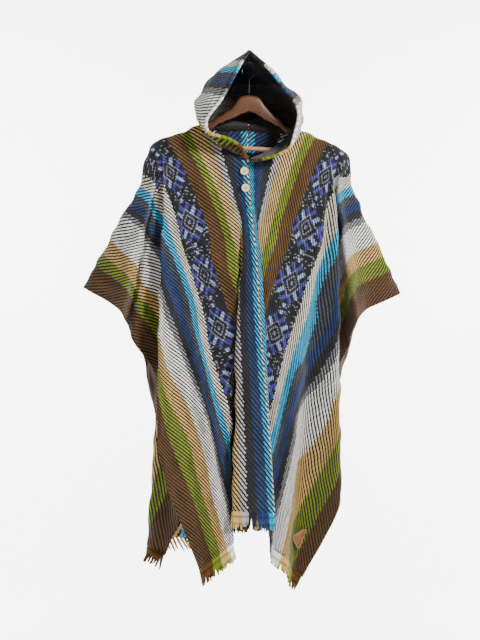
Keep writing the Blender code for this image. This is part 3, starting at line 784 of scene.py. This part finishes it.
# Where the cloth is pulled aslant, its stripes lie aside from the straight cut
stripePull = {
    "reachU": 0.035,
    "reachV": 0.075,
    "still": 0.06,
    "left": [
        # u, v and the shift in u, in mm
        (140, 200, 15),
        (210, 190, 35),
        (310, 90, -20),
        (460, 160, -25),
        (265, 340, 20),
        (218, 390, 32),
        (178, 430, -20),
        (410, 720, 20),
    ],
    "right": [
        (130, 150, 12),
        (205, 170, 42),
        (240, 270, 15),
        (150, 400, -5),
        (360, 500, -35),
        (405, 480, -30),
        (290, 650, -3),
        (500, 680, -30),
        (520, 820, -30),
        (570, 940, -34),
        (420, 1000, 15),
    ],
}


def pulledU(side, u, v):
    moved = 0.0 * u
    weight = 0.0 * u + stripePull["still"]
    for atU, atV, shift in stripePull[side]:
        aside = (u - atU * mm) / stripePull["reachU"]
        along = (np.abs(v) - atV * mm) / stripePull["reachV"]
        near = np.exp(-(aside**2) - along**2)
        moved = moved + near * shift * mm
        weight = weight + near
    return u + moved / weight


ribSide = {"left": 1.0, "right": -1.0}


# How many ribs across and how far along a rib a cloth point lies
def ribPlace(side, u, v):
    lean = weave["ribLean"]
    size = math.hypot(1.0, lean)
    way = ribSide[side]
    across = (u + way * lean * v) / size / weave["ribPitch"][side]
    return np.stack([across, (v - way * lean * u) / size], axis=-1)


# Painted shade on the back near the neck: how dark it is drawn, and how far below the shoulder line.
# Meant as the hood's shadow on its inside, it falls on its outside, as the cloth is turned back where
# makePanel looks
neckShadow = {"shade": 0.12, "until": 0.080, "over": 0.035}

panelGrid = {
    "columns": 126,
    "rowsFar": 145,
    "rowsMoreBehind": 15,
    "rowsNear": 46,
    "seamLook": 0.006,
    "rumpleFrom": 0.03,
}


# Levels of v down one face: close together beside the neck and even below it
def levelsDown(drop, rowsNear, rowsFar):
    near = drop * np.sin(np.linspace(0.0, 1.0, rowsNear) * math.pi / 2)
    return np.concatenate([near, np.linspace(drop, cut["halfLength"], rowsFar)[1:]])


def panelLevels():
    front = levelsDown(cut["neckFrontDrop"], panelGrid["rowsNear"], panelGrid["rowsFar"])
    rowsBehind = panelGrid["rowsFar"] + panelGrid["rowsMoreBehind"]
    back = levelsDown(cut["neckBackDrop"], panelGrid["rowsNear"] // 2, rowsBehind)
    return np.concatenate([-back[:0:-1], front])


def makePanel(side, material):
    levels = panelLevels()
    share = np.linspace(0.0, 1.0, panelGrid["columns"])
    inner = np.maximum(neckEdge(levels), cut["seamGap"] / 2)
    u = inner[:, None] + (cut["halfWidth"] - inner)[:, None] * share[None, :]
    v = np.repeat(levels[:, None], len(share), axis=1)
    # Across the seam the normals follow the other half, so that the two meet flush
    look = np.full(len(levels), panelGrid["seamLook"])
    across = (clothPoint("right", look, levels) - clothPoint("left", look, levels)) * hang[side]["sign"]
    across[neckEdge(levels) > 0] = 0.0
    grid = clothPoint(side, u, v)
    normal = gridNormals(grid, across)
    hemFacesFront = normal[-1, len(share) // 2, 1] < 0
    height = rumpled(u, v, ribSide[side]) * ease(u / panelGrid["rumpleFrom"])
    if side == "right":
        away = np.hypot(u - rumple["flatAt"][0], v - rumple["flatAt"][1])
        height = height * ease(away / rumple["flatWithin"] - rumple["flatShare"])
    grid = grid + normal * (height if hemFacesFront else -height)[..., None]
    normal = gridNormals(grid, across)
    # Painted shade of the hood on the back near the neck
    clear = ease((-v - neckShadow["until"]) / neckShadow["over"])
    shaded = np.where(v < 0, neckShadow["shade"] + (1 - neckShadow["shade"]) * clear, 1.0)
    mesh = wallMesh(
        f"{side}Panel", grid, np.stack([pulledU(side, u, v), v], axis=-1), ribPlace(side, u, v),
        cut["wall"], normal, (1.0, shaded) if hemFacesFront else (shaded, 1.0),
    )
    return link(f"{side}Panel", mesh, material, f"{side}_panel")


cloth = clothMaterial("wool twill with stripes")
panels = {side: makePanel(side, cloth) for side in ("left", "right")}
print("panels made")

fringe = {
    "strands": 116,
    "drop": 0.040,
    "uneven": 0.16,
    "unevenRange": (-1.0, 0.3),
    "radius": 0.0040,
    "tip": 0.0020,
    "flatness": 0.62,
    "rings": 9,
    "sides": 8,
    "sway": 0.006,
    "curl": 1.6,
    "overlap": 0.003,
    "inset": 0.003,
    # Steps at the hem that tell which way the cloth runs there
    "lookUp": 0.03,
    "lookAside": 0.003,
    "alongCloth": 0.85,
    "downPull": 0.15,
}


# Faces of a closed tube whose rings of points follow one another
def tubeFaces(rings, sides, start=0):
    faces = [tuple(range(start + sides - 1, start - 1, -1))]
    for i in range(rings - 1):
        low = start + i * sides
        for j in range(sides):
            k = (j + 1) % sides
            faces.append((low + j, low + k, low + sides + k, low + sides + j))
    last = start + (rings - 1) * sides
    faces.append(tuple(range(last, last + sides)))
    return faces


def makeFringe(side, face, material):
    rng = np.random.default_rng(7 + (side == "right") * 10 + (face > 0) * 100)
    count = fringe["strands"]
    sides = fringe["sides"]
    u = (np.arange(count) + 0.5) / count * (cut["halfWidth"] - 2 * fringe["inset"]) + fringe["inset"]
    v = np.full(count, face * cut["halfLength"])
    hem = clothPoint(side, u, v)
    above = clothPoint(side, u, np.full(count, face * (cut["halfLength"] - fringe["lookUp"])))
    beside = clothPoint(side, u + fringe["lookAside"], v)
    colourAt = pulledU(side, u, v)
    down = hem - above
    down /= np.linalg.norm(down, axis=1, keepdims=True)
    along = beside - hem
    along /= np.linalg.norm(along, axis=1, keepdims=True)
    out = np.cross(along, down)
    points = []
    faces = []
    clothAt = []
    ribAt = []
    turn = np.linspace(0, 2 * math.pi, sides, endpoint=False)
    for i in range(count):
        length = fringe["drop"] * (1 + fringe["uneven"] * rng.uniform(*fringe["unevenRange"]))
        sway = rng.uniform(-1, 1, 2) * fringe["sway"]
        fall = down[i] * fringe["alongCloth"] + np.array([0, 0, -fringe["downPull"]])
        faces += tubeFaces(fringe["rings"], sides, len(points))
        for k, share in enumerate(np.linspace(0, 1, fringe["rings"])):
            centre = hem[i] - down[i] * fringe["overlap"] + fall * (length + fringe["overlap"]) * share
            centre = centre + (along[i] * sway[0] + out[i] * sway[1] * 0.5) * share ** fringe["curl"]
            radius = fringe["radius"] * (1 - share**3) + fringe["tip"] * share**3
            if k == 0:
                radius *= 0.5
            for a in turn:
                spoke = math.cos(a) * along[i] + fringe["flatness"] * math.sin(a) * out[i]
                points.append(centre + radius * spoke)
                clothAt.append((colourAt[i], share * length))
                ribAt.append((share * length * looseYarn["perMetre"], a / (2 * math.pi)))
    name = f"{side}{'Front' if face > 0 else 'Back'}Fringe"
    mesh = meshOf(name, np.array(points), faces)
    setUv(mesh, "cloth", np.array(clothAt))
    setUv(mesh, "weave", np.array(ribAt))
    node = f"{side}_{'front' if face > 0 else 'back'}_fringe"
    return link(name, mesh, material, node)


yarn = yarnMaterial("loose wool yarn", looseYarn["fringeTurns"])
fringes = {side: [makeFringe(side, face, yarn) for face in (1.0, -1.0)] for side in ("left", "right")}
print("fringes made")

hood = {
    # Shares of the way round from the face opening to the centre of the back
    "cheekAt": 0.2,
    "sideAt": 0.42,
    "backSideAt": 0.72,
    "inset": 0.91,
    "insetV": 0.955,
    "lift": 0.0030,
    "frontGap": 0.0060,
    "tuck": 0.012,
    "tuckNarrow": 0.97,
    "tuckShare": 0.03,
    "around": 96,
    "up": 90,
    "seamAbove": -0.17,
    "depth": 0.21,
    "cut": (0.21, 0.37),
    "cutArea": 0.058,
    "creases": [
        # height, across going up, across going round, phase
        (0.0026, 3.1, 1.3, 0.0),
        (0.0018, 1.7, -3.3, 1.1),
    ],
    "calmAside": 0.12,
    "calmFoot": 0.25,
    "calmCrown": 0.2,
    "rimRadius": 0.0042,
    "rimThin": 0.78,
    "rimSwell": 0.26,
    "rimRoundness": 0.7,
    "rimForward": 0.0006,
    "rimClear": 0.4,
    "rimSides": 10,
    "rimSteps": 260,
    "wraps": 0.0075,
    # How bright the hood's inside is drawn: painted shade for the shadow inside the hood
    "insideShade": 0.09,
}

# Which stripe of the cloth lies how far up the hood: how far up, u in mm
hoodStripes = [
    (0.00, 573), (0.12, 511), (0.22, 471), (0.30, 434), (0.57, 376), (0.63, 358),
    (0.68, 338), (0.73, 318), (0.78, 298), (0.84, 278), (0.90, 254), (1.00, 215),
]


# Where the hood's foot is sewn to the neck opening, from the front to the centre of the back
def neckLine(side, s):
    turn = np.clip(s / hood["sideAt"], 0.0, 1.0) * math.pi / 2
    back = np.clip((s - hood["sideAt"]) / (1 - hood["sideAt"]), 0.0, 1.0) * math.pi / 2
    v = cut["neckFrontDrop"] * np.cos(turn) - cut["neckBackDrop"] * np.sin(back)
    front = np.clip(v / cut["neckFrontDrop"], 0.0, 1.0)
    u = np.maximum(neckEdge(v) * hood["inset"], cut["seamGap"] + hood["frontGap"] * front)
    foot = clothPoint(side, u, v * hood["insetV"])
    foot[:, 2] += hood["lift"]
    return foot


# Points of half the hood, s of the way round and t of the way up
def hoodSurface(side, s, t):
    columns = (0.0, hood["cheekAt"], hood["sideAt"], hood["backSideAt"], 1.0)
    keys = [0.0]
    rings = [neckLine(side, s)]
    for row in hoodRings[side]:
        keys.append(row[0])
        ring = [smoothThrough([(c, p[k]) for c, p in zip(columns, row[1:])], 1, s) for k in range(3)]
        rings.append(np.stack(ring, axis=1) * mm)
    rings = np.array(rings)
    grid = np.empty((len(t), len(s), 3))
    for j in range(len(s)):
        for k in range(3):
            grid[:, j, k] = smoothThrough(list(zip(keys, rings[:, j, k])), 1, t)
    return grid


def makeHoodHalf(side, material):
    s = np.linspace(0.0, 1.0, hood["around"])
    t = np.linspace(0.0, 1.0, hood["up"])
    grid = hoodSurface(side, s, t)
    # A turning of cloth goes down inside the neck
    tuck = grid[:1] + np.array([0, 0, -hood["tuck"]])
    tuck[..., 0] *= hood["tuckNarrow"]
    grid = np.concatenate([tuck, grid])
    t = np.concatenate([[-hood["tuckShare"]], t])
    u = mm * smoothThrough(hoodStripes, 1, t)
    uGrid = np.repeat(u[:, None], len(s), axis=1)
    upGrid = np.repeat(t[:, None] * hood["cut"][1], len(s), axis=1)
    vGrid = np.repeat(s[None, :] * hood["depth"], len(t), axis=0)
    calm = ease(np.minimum(s, 1 - s) / hood["calmAside"])[None, :]
    calm = calm * ease(t / hood["calmFoot"])[:, None] * ease((1 - t) / hood["calmCrown"])[:, None]
    creases = sum(
        size * np.sin(2 * math.pi * (up * t[:, None] + around * s[None, :]) + phase)
        for size, up, around, phase in hood["creases"]
    )
    grid = grid + gridNormals(grid) * (creases * calm)[..., None]
    sign = hang[side]["sign"]
    # The hood's inside gets the painted shade
    shades = (1.0, hood["insideShade"])
    mesh = wallMesh(
        f"{side}Hood", grid, np.stack([uGrid, vGrid], axis=-1), ribPlace(side, upGrid, vGrid),
        cut["wall"], gridNormals(grid), shades if sign > 0 else shades[::-1],
    )
    # Neither half reaches past the centre line where they are sewn together
    points = np.empty(len(mesh.vertices) * 3)
    mesh.vertices.foreach_get("co", points)
    points = points.reshape(-1, 3)
    seam = points[:, 2] > hood["seamAbove"]
    points[seam, 0] = sign * np.maximum(sign * points[seam, 0], cut["seamGap"] / 2)
    mesh.vertices.foreach_set("co", points.ravel())
    mesh.update()
    return link(f"{side}Hood", mesh, material, f"hood_{side}")


def lengthAlong(path):
    return np.concatenate([[0], np.cumsum(np.linalg.norm(np.diff(path, axis=0), axis=1))])


# A closed tube along a path, its radius one value, one a ring or one a point; lift is a
# direction that the path never runs along
def tubeMesh(name, path, radius, sides, clothU=None, lift=None):
    path = np.asarray(path, dtype=float)
    run = np.gradient(path, axis=0)
    run /= np.linalg.norm(run, axis=1, keepdims=True)
    if lift is None:
        lift = (0.0, 1.0, 0.0) if abs(run[:, 1]).max() < 0.9 else (0.0, 0.0, 1.0)
    side = np.cross(run, lift)
    side /= np.maximum(np.linalg.norm(side, axis=1, keepdims=True), tiny)
    up = np.cross(side, run)
    turn = np.linspace(0, 2 * math.pi, sides, endpoint=False)
    radius = np.asarray(radius, dtype=float)
    if radius.ndim < 2:
        radius = np.broadcast_to(radius, (len(path),))[:, None]
    rings = path[:, None, :] + side[:, None, :] * (np.cos(turn)[None, :] * radius)[..., None]
    rings = rings + up[:, None, :] * (np.sin(turn)[None, :] * radius)[..., None]
    mesh = meshOf(name, rings.reshape(-1, 3), tubeFaces(len(path), sides))
    length = lengthAlong(path)
    u = length if clothU is None else clothU
    along = np.repeat(length * looseYarn["perMetre"], sides)
    setUv(mesh, "cloth", np.stack([np.repeat(u, sides), np.repeat(length, sides)], axis=1))
    setUv(mesh, "weave", np.stack([along, np.tile(turn / (2 * math.pi), len(path))], axis=1))
    return mesh


# The rolled rim of the face opening, wrapped in yarn
def makeRim(side, material):
    sign = hang[side]["sign"]
    t = np.linspace(0.0, 1.0, hood["rimSteps"])
    path = hoodSurface(side, np.array([0.0]), t)[:, 0]
    path = path + np.array([0.0, -hood["rimForward"], 0.0])
    path[:, 0] = sign * np.maximum(sign * path[:, 0], hood["rimRadius"] * hood["rimClear"])
    turn = np.linspace(0, 2 * math.pi, hood["rimSides"], endpoint=False)
    wrap = np.abs(np.sin(math.pi * lengthAlong(path)[:, None] / hood["wraps"] + turn[None, :] / 2))
    radius = hood["rimRadius"] * (hood["rimThin"] + hood["rimSwell"] * wrap ** hood["rimRoundness"])
    mesh = tubeMesh(f"{side}Rim", path, radius, hood["rimSides"], mm * smoothThrough(hoodStripes, 1, t))
    return link(f"{side}Rim", mesh, material, None)


hoods = {side: makeHoodHalf(side, cloth) for side in ("left", "right")}
rimYarn = yarnMaterial("wrapped wool yarn", looseYarn["rimTurns"])
rims = {side: makeRim(side, rimYarn) for side in ("left", "right")}
print("hood made")

# The sewn seams that join the halves, at the centre back, the centre front and the hood
seam = {
    "thread": 0.0010,
    "hoodThread": 0.0013,
    "cloth": "#6F6856",
    "hood": "#17151B",
    "steps": 180,
    "crownSteps": 60,
    "crownAt": 0.995,
    "shortBy": 0.002,
    "sides": 8,
}


def makeSeam(name, path, radius, material):
    mesh = tubeMesh(name, path, radius, seam["sides"], lift=(1.0, 0.0, 0.0))
    return link(name, mesh, material, None)


def panelSeam(first, last):
    v = np.linspace(first, last, seam["steps"])
    edge = np.full(len(v), cut["seamGap"] / 2)
    return 0.5 * (clothPoint("left", edge, v) + clothPoint("right", edge, v))


def hoodSeam():
    t = np.linspace(0.0, seam["crownAt"], seam["steps"])
    path = 0.5 * sum(hoodSurface(side, np.array([1.0]), t)[:, 0] for side in ("left", "right"))
    tucked = [path[:1] - [0.0, 0.0, share * hood["tuck"]] for share in (2, 1)]
    path = np.concatenate(tucked + [path])
    path[:, 0] = 0.0  # the hood's halves close on the centre line
    return path


def crownSeam():
    s = np.linspace(0.0, 1.0, seam["crownSteps"])
    return 0.5 * sum(hoodSurface(side, s, np.array([1.0]))[0] for side in ("left", "right"))


clothThread = plainMaterial("seam thread", seam["cloth"], 0.9)
hoodThread = plainMaterial("dark seam thread", seam["hood"], 0.9)
hemEnd = cut["halfLength"] - seam["shortBy"]
neckEnd = cut["neckBackDrop"] + seam["shortBy"]
makeSeam("backSeam", panelSeam(-neckEnd, -hemEnd), seam["thread"], clothThread)
makeSeam("frontSeam", panelSeam(cut["slitEnd"], hemEnd), seam["thread"], clothThread)
makeSeam("hoodSeam", hoodSeam(), seam["hoodThread"], hoodThread)
makeSeam("crownSeam", crownSeam(), seam["hoodThread"], hoodThread)
print("seams made")

button = {
    "radius": 0.0100,
    "thick": 0.0032,
    "standOff": 0.0018,
    "places": {"button_upper": (0.011, 0.160), "button_lower": (0.011, 0.207)},
    # From the middle of the face to the middle of the back: shares of the radius and of
    # half the thickness
    "profile": [
        (0.0, -0.35), (0.45, -0.35), (0.62, -0.55), (0.72, -0.95), (0.86, -1.0),
        (0.96, -0.7), (1.0, -0.1), (0.97, 0.5), (0.85, 1.0), (0.0, 1.0),
    ],
    "turns": 40,
    "mergeWithin": 0.00001,
    "holeAt": 0.0025,
    "holeDiagonal": 1.4,
    "holeRadius": 0.0014,
    "holeDepths": (0.0004, -0.0001, -0.0004),
    "colour": "#E6D6AE",
    "streaks": "#B59A62",
    "thread": "#15131A",
}


def buttonMaterial():
    material, tree, shader = newMaterial("ivory button", 0.38)
    swirl = noise(tree, objectPlace(tree), 160.0, 4.0, 0.6)
    streaks = times(tree, swirl, 0.5)
    colour = mixColour(tree, streaks, linear(button["colour"]), linear(button["streaks"]))
    tree.links.new(colour, shader.inputs["Base Color"])
    setBump(tree, shader, swirl, 0.0002)
    return material


# A dark plug along Y that fills a drilled hole; in the hanger's screw holes its near-black is painted shade
def makeHole(name, x, z, depths, radius, taper, sides, material):
    radii = [radius, radius, radius * taper]
    link(name, tubeMesh(name, [(x, y, z) for y in depths], radii, sides), material, None)


# A turned button: a raised edge round a shallow dish
def makeButton(node, u, v, ivory, thread):
    at = clothPoint("left", np.array([u]), np.array([v]))[0]
    at[1] -= cut["wall"] / 2 + button["thick"] / 2 + button["standOff"]
    r, half = button["radius"], button["thick"] / 2
    profile, turns = button["profile"], button["turns"]
    points = []
    for share, deep in profile:
        for k in range(turns):
            a = 2 * math.pi * k / turns
            x, z = at[0] + share * r * math.cos(a), at[2] + share * r * math.sin(a)
            points.append((x, at[1] + deep * half, z))
    faces = []
    for i in range(len(profile) - 1):
        for j in range(turns):
            k = (j + 1) % turns
            faces.append((i * turns + j, (i + 1) * turns + j, (i + 1) * turns + k, i * turns + k))
    mesh = meshOf(node, np.array(points), faces)
    bm = bmesh.new()
    bm.from_mesh(mesh)
    bmesh.ops.remove_doubles(bm, verts=bm.verts, dist=button["mergeWithin"])
    bmesh.ops.recalc_face_normals(bm, faces=bm.faces)
    bm.to_mesh(mesh)
    bm.free()
    name = "buttonUpper" if node == "button_upper" else "buttonLower"
    link(name, mesh, ivory, node)
    dish = at[1] + profile[0][1] * half
    depths = [dish + deep for deep in button["holeDepths"]]
    for k, (dx, dz) in enumerate(((-1, -1), (-1, 1), (1, -1), (1, 1))):
        x = at[0] + dx * button["holeAt"] / button["holeDiagonal"]
        z = at[2] + dz * button["holeAt"] / button["holeDiagonal"]
        makeHole(f"{name}Hole{k}", x, z, depths, button["holeRadius"], 0.6, 10, thread)


ivory = buttonMaterial()
darkThread = plainMaterial("dark thread", button["thread"], 0.9)
for node, (u, v) in button["places"].items():
    makeButton(node, u, v, ivory, darkThread)

# Three stitches that close the foot of the slit
barTack = {
    "v": 0.262,
    "pitch": 0.0026,
    "reach": {"left": 0.009, "right": 0.007},
    "radius": 0.0016,
    "sunk": 0.7,
    "bow": 0.0016,
    "colour": "#10A2C6",
}
teal = plainMaterial("teal thread", barTack["colour"], 0.9, 700.0, 0.0006)
for k in range(3):
    v = np.array([barTack["v"] + (k - 1) * barTack["pitch"]])
    ends = [clothPoint(side, np.array([reach]), v)[0] for side, reach in barTack["reach"].items()]
    share = np.linspace(0, 1, 12)[:, None]
    path = ends[0] * (1 - share) + ends[1] * share
    path[:, 1] = min(ends[0][1], ends[1][1]) - cut["wall"] / 2 - barTack["radius"] * barTack["sunk"]
    path[:, 1] += barTack["bow"] * (2 * share[:, 0] - 1) ** 4
    link(f"barTack{k}", tubeMesh(f"barTack{k}", path, barTack["radius"], 8), teal, None)
print("buttons and bar tack made")

label = {
    "centre": (0.527, 0.945),
    "corners": ((0.006, -0.036), (-0.034, 0.014), (0.012, 0.026)),
    "cornerPoints": 9,
    "rounding": 0.22,
    # Shares of the outline at which the cloth under the tab is felt out
    "feltAt": (1.0, 0.75, 0.5, 0.25),
    "thick": 0.002,
    "standOff": 0.0022,
    "edge": 0.0005,
    "edgeRise": 0.0003,
    "margin": 0.0022,
    "groove": 0.0009,
    "grooveDepth": 0.0006,
    "colour": "#A9794A",
    "dark": "#6E4626",
}


def leatherMaterial():
    material, tree, shader = newMaterial("tan leather", 0.55)
    where = objectPlace(tree)
    cells = addNode(tree, "ShaderNodeTexVoronoi", {"Vector": where, "Scale": 900.0}).outputs["Distance"]
    stain = noise(tree, where, 90.0, 4.0, 0.6)
    colour = mixColour(tree, stain, linear(label["dark"]), linear(label["colour"]))
    tree.links.new(colour, shader.inputs["Base Color"])
    setBump(tree, shader, cells, 0.0003, 0.5)
    return material


def makeLabel():
    centre = np.array(label["centre"])
    corners = [centre + np.array(c) for c in label["corners"]]
    outline = []
    for k, corner in enumerate(corners):
        before = corners[k - 1] - corner
        after = corners[(k + 1) % 3] - corner
        for share in np.linspace(0, 1, label["cornerPoints"]):
            outline.append(corner + label["rounding"] * ((1 - share) ** 2 * before + share**2 * after))
    outline = np.array(outline)
    spot = np.concatenate([centre + share * (outline - centre) for share in label["feltAt"]])
    at = clothPoint("right", spot[:, 0], spot[:, 1])
    middle = at.mean(axis=0)
    across = np.linalg.svd(at - middle)[2]
    facing = across[2] if across[2][1] < 0 else -across[2]
    level = ((at - middle) @ facing).max() + cut["wall"] / 2 + label["standOff"]
    edge = at[: len(outline)]
    flat = edge - np.outer((edge - middle) @ facing, facing) + facing * level
    bm = bmesh.new()
    face = bm.faces.new([bm.verts.new(p) for p in flat])
    bm.normal_update()
    if face.normal.dot(facing.tolist()) < 0:
        face.normal_flip()
    made = bmesh.ops.extrude_face_region(bm, geom=[face])
    top = [f for f in made["geom"] if isinstance(f, bmesh.types.BMFace)][0]
    bmesh.ops.translate(bm, verts=top.verts, vec=(facing * label["thick"]).tolist())
    # A rounded edge, a plain margin and a groove with its inner wall
    for width, rise in (
        (label["edge"], label["edgeRise"]), (label["margin"], 0.0),
        (label["groove"], -label["grooveDepth"]), (label["groove"], label["grooveDepth"]),
    ):
        bmesh.ops.inset_region(bm, faces=[top], thickness=width, depth=rise)
    bmesh.ops.recalc_face_normals(bm, faces=bm.faces)
    mesh = bpy.data.meshes.new("leatherLabel")
    bm.to_mesh(mesh)
    bm.free()
    link("leatherLabel", mesh, leatherMaterial(), "leather_label")


makeLabel()
print("label made")

hanger = {
    "dark": "#2A1509",
    "light": "#6B4022",
    "steps": 140,
    "sides": 20,
    "squareness": 0.6,
    "grain": (4.0, 30.0, 30.0),
    "bar": "#C49A6C",
    "barDark": "#9A6E45",
    "barRadius": 0.0056,
    "barSides": 24,
    "barGrain": (4.0, 40.0, 40.0),
    "holes": ((0.0155, -0.1235), (0.0255, -0.1262)),
    "holeDepths": (-0.0086, -0.0092, -0.0093),
    "holeRadius": 0.0017,
    "holeShadeColour": "#0A0808",
}


def woodMaterial(name, dark, light, roughness, stretch):
    material, tree, shader = newMaterial(name, roughness)
    shader.inputs["Coat Weight"].default_value = 0.2
    shader.inputs["Coat Roughness"].default_value = 0.25
    spread = addNode(tree, "ShaderNodeMapping", {0: objectPlace(tree), 3: stretch}).outputs[0]
    grain = noise(tree, spread, 40.0, 6.0, 0.65)
    fine = noise(tree, spread, 160.0, 3.0, 0.6)
    share = plus(tree, times(tree, grain, 0.75), times(tree, fine, 0.25))
    share = between(tree, share, 0.3, 0.7)
    tree.links.new(mixColour(tree, share, linear(dark), linear(light)), shader.inputs["Base Color"])
    setBump(tree, shader, fine, 0.0003)
    return material


def makeHangerBody(material):
    x = np.linspace(hangerStations[0][0], hangerStations[-1][0], hanger["steps"])
    top, low, half = (smoothThrough(hangerStations, k, x) * mm for k in (1, 2, 3))
    turn = np.linspace(0, 2 * math.pi, hanger["sides"], endpoint=False)
    middle, tall = 0.5 * (top + low), 0.5 * (top - low)
    bend = np.sign(np.cos(turn)) * np.abs(np.cos(turn)) ** hanger["squareness"]
    rise = np.sign(np.sin(turn)) * np.abs(np.sin(turn)) ** hanger["squareness"]
    rings = np.stack(
        [
            np.repeat(x[:, None] * mm, len(turn), axis=1),
            half[:, None] * bend[None, :],
            middle[:, None] + tall[:, None] * rise[None, :],
        ],
        axis=-1,
    )
    mesh = meshOf("hangerBody", rings.reshape(-1, 3), tubeFaces(len(x), len(turn)))
    return link("hangerBody", mesh, material, "hanger_body")


# The trouser bar runs between the middles of the solid bar's two ends
def makeHangerBar(material):
    ends = np.array([v.co[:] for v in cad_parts["hanger_bar"].data.vertices])
    low, high = (corner[0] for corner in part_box("hanger_bar"))
    leftEnd = ends[ends[:, 0] < low + mm].mean(axis=0)
    rightEnd = ends[ends[:, 0] > high - mm].mean(axis=0)
    share = np.linspace(0, 1, 24)[:, None]
    path = leftEnd * (1 - share) + rightEnd * share
    mesh = tubeMesh("hangerBar", path, hanger["barRadius"], hanger["barSides"])
    return link("hangerBar", mesh, material, "hanger_bar")


darkWood = woodMaterial("varnished wood", hanger["dark"], hanger["light"], 0.35, hanger["grain"])
barWood = woodMaterial("plain wood", hanger["barDark"], hanger["bar"], 0.55, hanger["barGrain"])
makeHangerBody(darkWood)
# The screw holes' near-black plugs are painted shade of the holes
black = plainMaterial("screw hole", hanger["holeShadeColour"], 0.8)
for k, (x, z) in enumerate(hanger["holes"]):
    depths, radius = hanger["holeDepths"], hanger["holeRadius"]
    makeHole(f"hangerHole{k}", x, z, depths, radius, 0.7, 12, black)
makeHangerBar(barWood)

hook = {
    "wire": 0.0018,
    "inner": 0.0165,
    "foot": -0.0807,
    "stemSteps": 8,
    "stemTop": 1.25,
    "from": 25,
    "to": 300,
    "steps": 56,
    # The wire is drawn dark grey: partly its own grey and partly painted shade, as it stands in the hood's
    # shadow
    "colour": "#58595D",
    "dark": "#2C2D30",
}


def metalMaterial():
    material, tree, shader = newMaterial("bright wire", 0.25)
    shader.inputs["Metallic"].default_value = 1.0
    scuff = noise(tree, objectPlace(tree), 220.0, 4.0, 0.7)
    # Both greys carry the painted shade of the hood's inside
    colour = mixColour(tree, scuff, linear(hook["dark"]), linear(hook["colour"]))
    tree.links.new(colour, shader.inputs["Base Color"])
    setBump(tree, shader, scuff, 0.0001)
    return material


def makeHook():
    loop = hook["inner"] + hook["wire"]
    centre = -hook["inner"]
    stem = np.linspace(hook["foot"], centre - loop * hook["stemTop"], hook["stemSteps"])
    bow = np.radians(np.linspace(hook["from"], hook["to"], hook["steps"]))
    path = [(0, 0, z) for z in stem]
    path += [(loop * math.sin(a), 0, centre - loop * math.cos(a)) for a in bow]
    mesh = tubeMesh("hangerHook", path, hook["wire"], 12)
    return link("hangerHook", mesh, metalMaterial(), "hanger_hook")


makeHook()
print("hanger made")

studio = {
    "floorHeight": -1.95,
    "wallTop": 6.0,
    "wallBehind": 4.2,
    "halfWidth": 12.0,
    "front": -8.0,
    "bend": 1.4,
    "bendSteps": 24,
    "colour": "#F4F3F1",
    "glow": 0.12,
    "roomColour": "#FFFFFF",
    "roomLight": 0.24,
}


def makeStudio():
    material, _, shader = newMaterial("pale paper", 0.95)
    shader.inputs["Base Color"].default_value = linear(studio["colour"])
    shader.inputs["Emission Color"].default_value = linear(studio["colour"])
    shader.inputs["Emission Strength"].default_value = studio["glow"]
    floor, wall, bend = studio["floorHeight"], studio["wallBehind"], studio["bend"]
    profile = [(studio["front"], floor)]
    for a in np.linspace(0, math.pi / 2, studio["bendSteps"]):
        profile.append((wall - bend + bend * math.sin(a), floor + bend - bend * math.cos(a)))
    profile.append((wall, studio["wallTop"]))
    points = [(x, y, z) for y, z in profile for x in (-studio["halfWidth"], studio["halfWidth"])]
    faces = [(2 * i, 2 * i + 1, 2 * i + 3, 2 * i + 2) for i in range(len(profile) - 1)]
    mesh = bpy.data.meshes.new("studioFloor")
    mesh.from_pydata(points, [], faces)
    mesh.materials.append(material)
    mesh.shade_smooth()
    made = bpy.data.objects.new("studioFloor", mesh)
    bpy.context.scene.collection.objects.link(made)


lights = [
    # name, place, aim, size, watts
    ("keyLight", (2.3, -2.0, 1.2), (0.0, 0.0, -0.6), 0.7, 265.0),
    ("fillLight", (-2.6, -2.6, 0.0), (0.0, 0.0, -0.7), 2.4, 15.0),
    ("backLight", (1.2, 2.6, 1.2), (0.0, 0.0, -0.6), 2.0, 16.0),
    ("backFill", (-2.2, 2.4, 0.0), (0.0, 0.0, -0.6), 2.0, 8.0),
    # These two light the paper alone, from behind the poncho
    ("paperLeft", (-2.6, 1.2, 0.6), (-1.0, 4.2, -0.6), 1.6, 640.0),
    ("paperRight", (2.6, 1.2, 0.6), (1.0, 4.2, -0.6), 1.6, 640.0),
]


def addLight(name, place, aim, size, watts):
    data = bpy.data.lights.new(name, "AREA")
    data.size = size
    data.energy = watts
    made = bpy.data.objects.new(name, data)
    made.location = place
    made.rotation_euler = (Vector(aim) - Vector(place)).to_track_quat("-Z", "Y").to_euler()
    bpy.context.scene.collection.objects.link(made)


makeStudio()
for light in lights:
    addLight(*light)
world = bpy.data.worlds.new("paleRoom")
world.use_nodes = True
room = world.node_tree.nodes["Background"]
room.inputs[0].default_value = linear(studio["roomColour"])
room.inputs[1].default_value = studio["roomLight"]
bpy.context.scene.world = world

view = {"distance": 3.0, "x": -0.0225, "z": -0.6425, "halfHeight": 0.8}
lens = bpy.data.cameras.new("camera")
lens.sensor_fit = "VERTICAL"
lens.lens_unit = "FOV"
lens.angle = 2 * math.atan(view["halfHeight"] / view["distance"])
camera = bpy.data.objects.new("camera", lens)
camera.location = (view["x"], -view["distance"], view["z"])
camera.rotation_euler = (math.pi / 2, 0, 0)
bpy.context.scene.collection.objects.link(camera)
bpy.context.scene.camera = camera
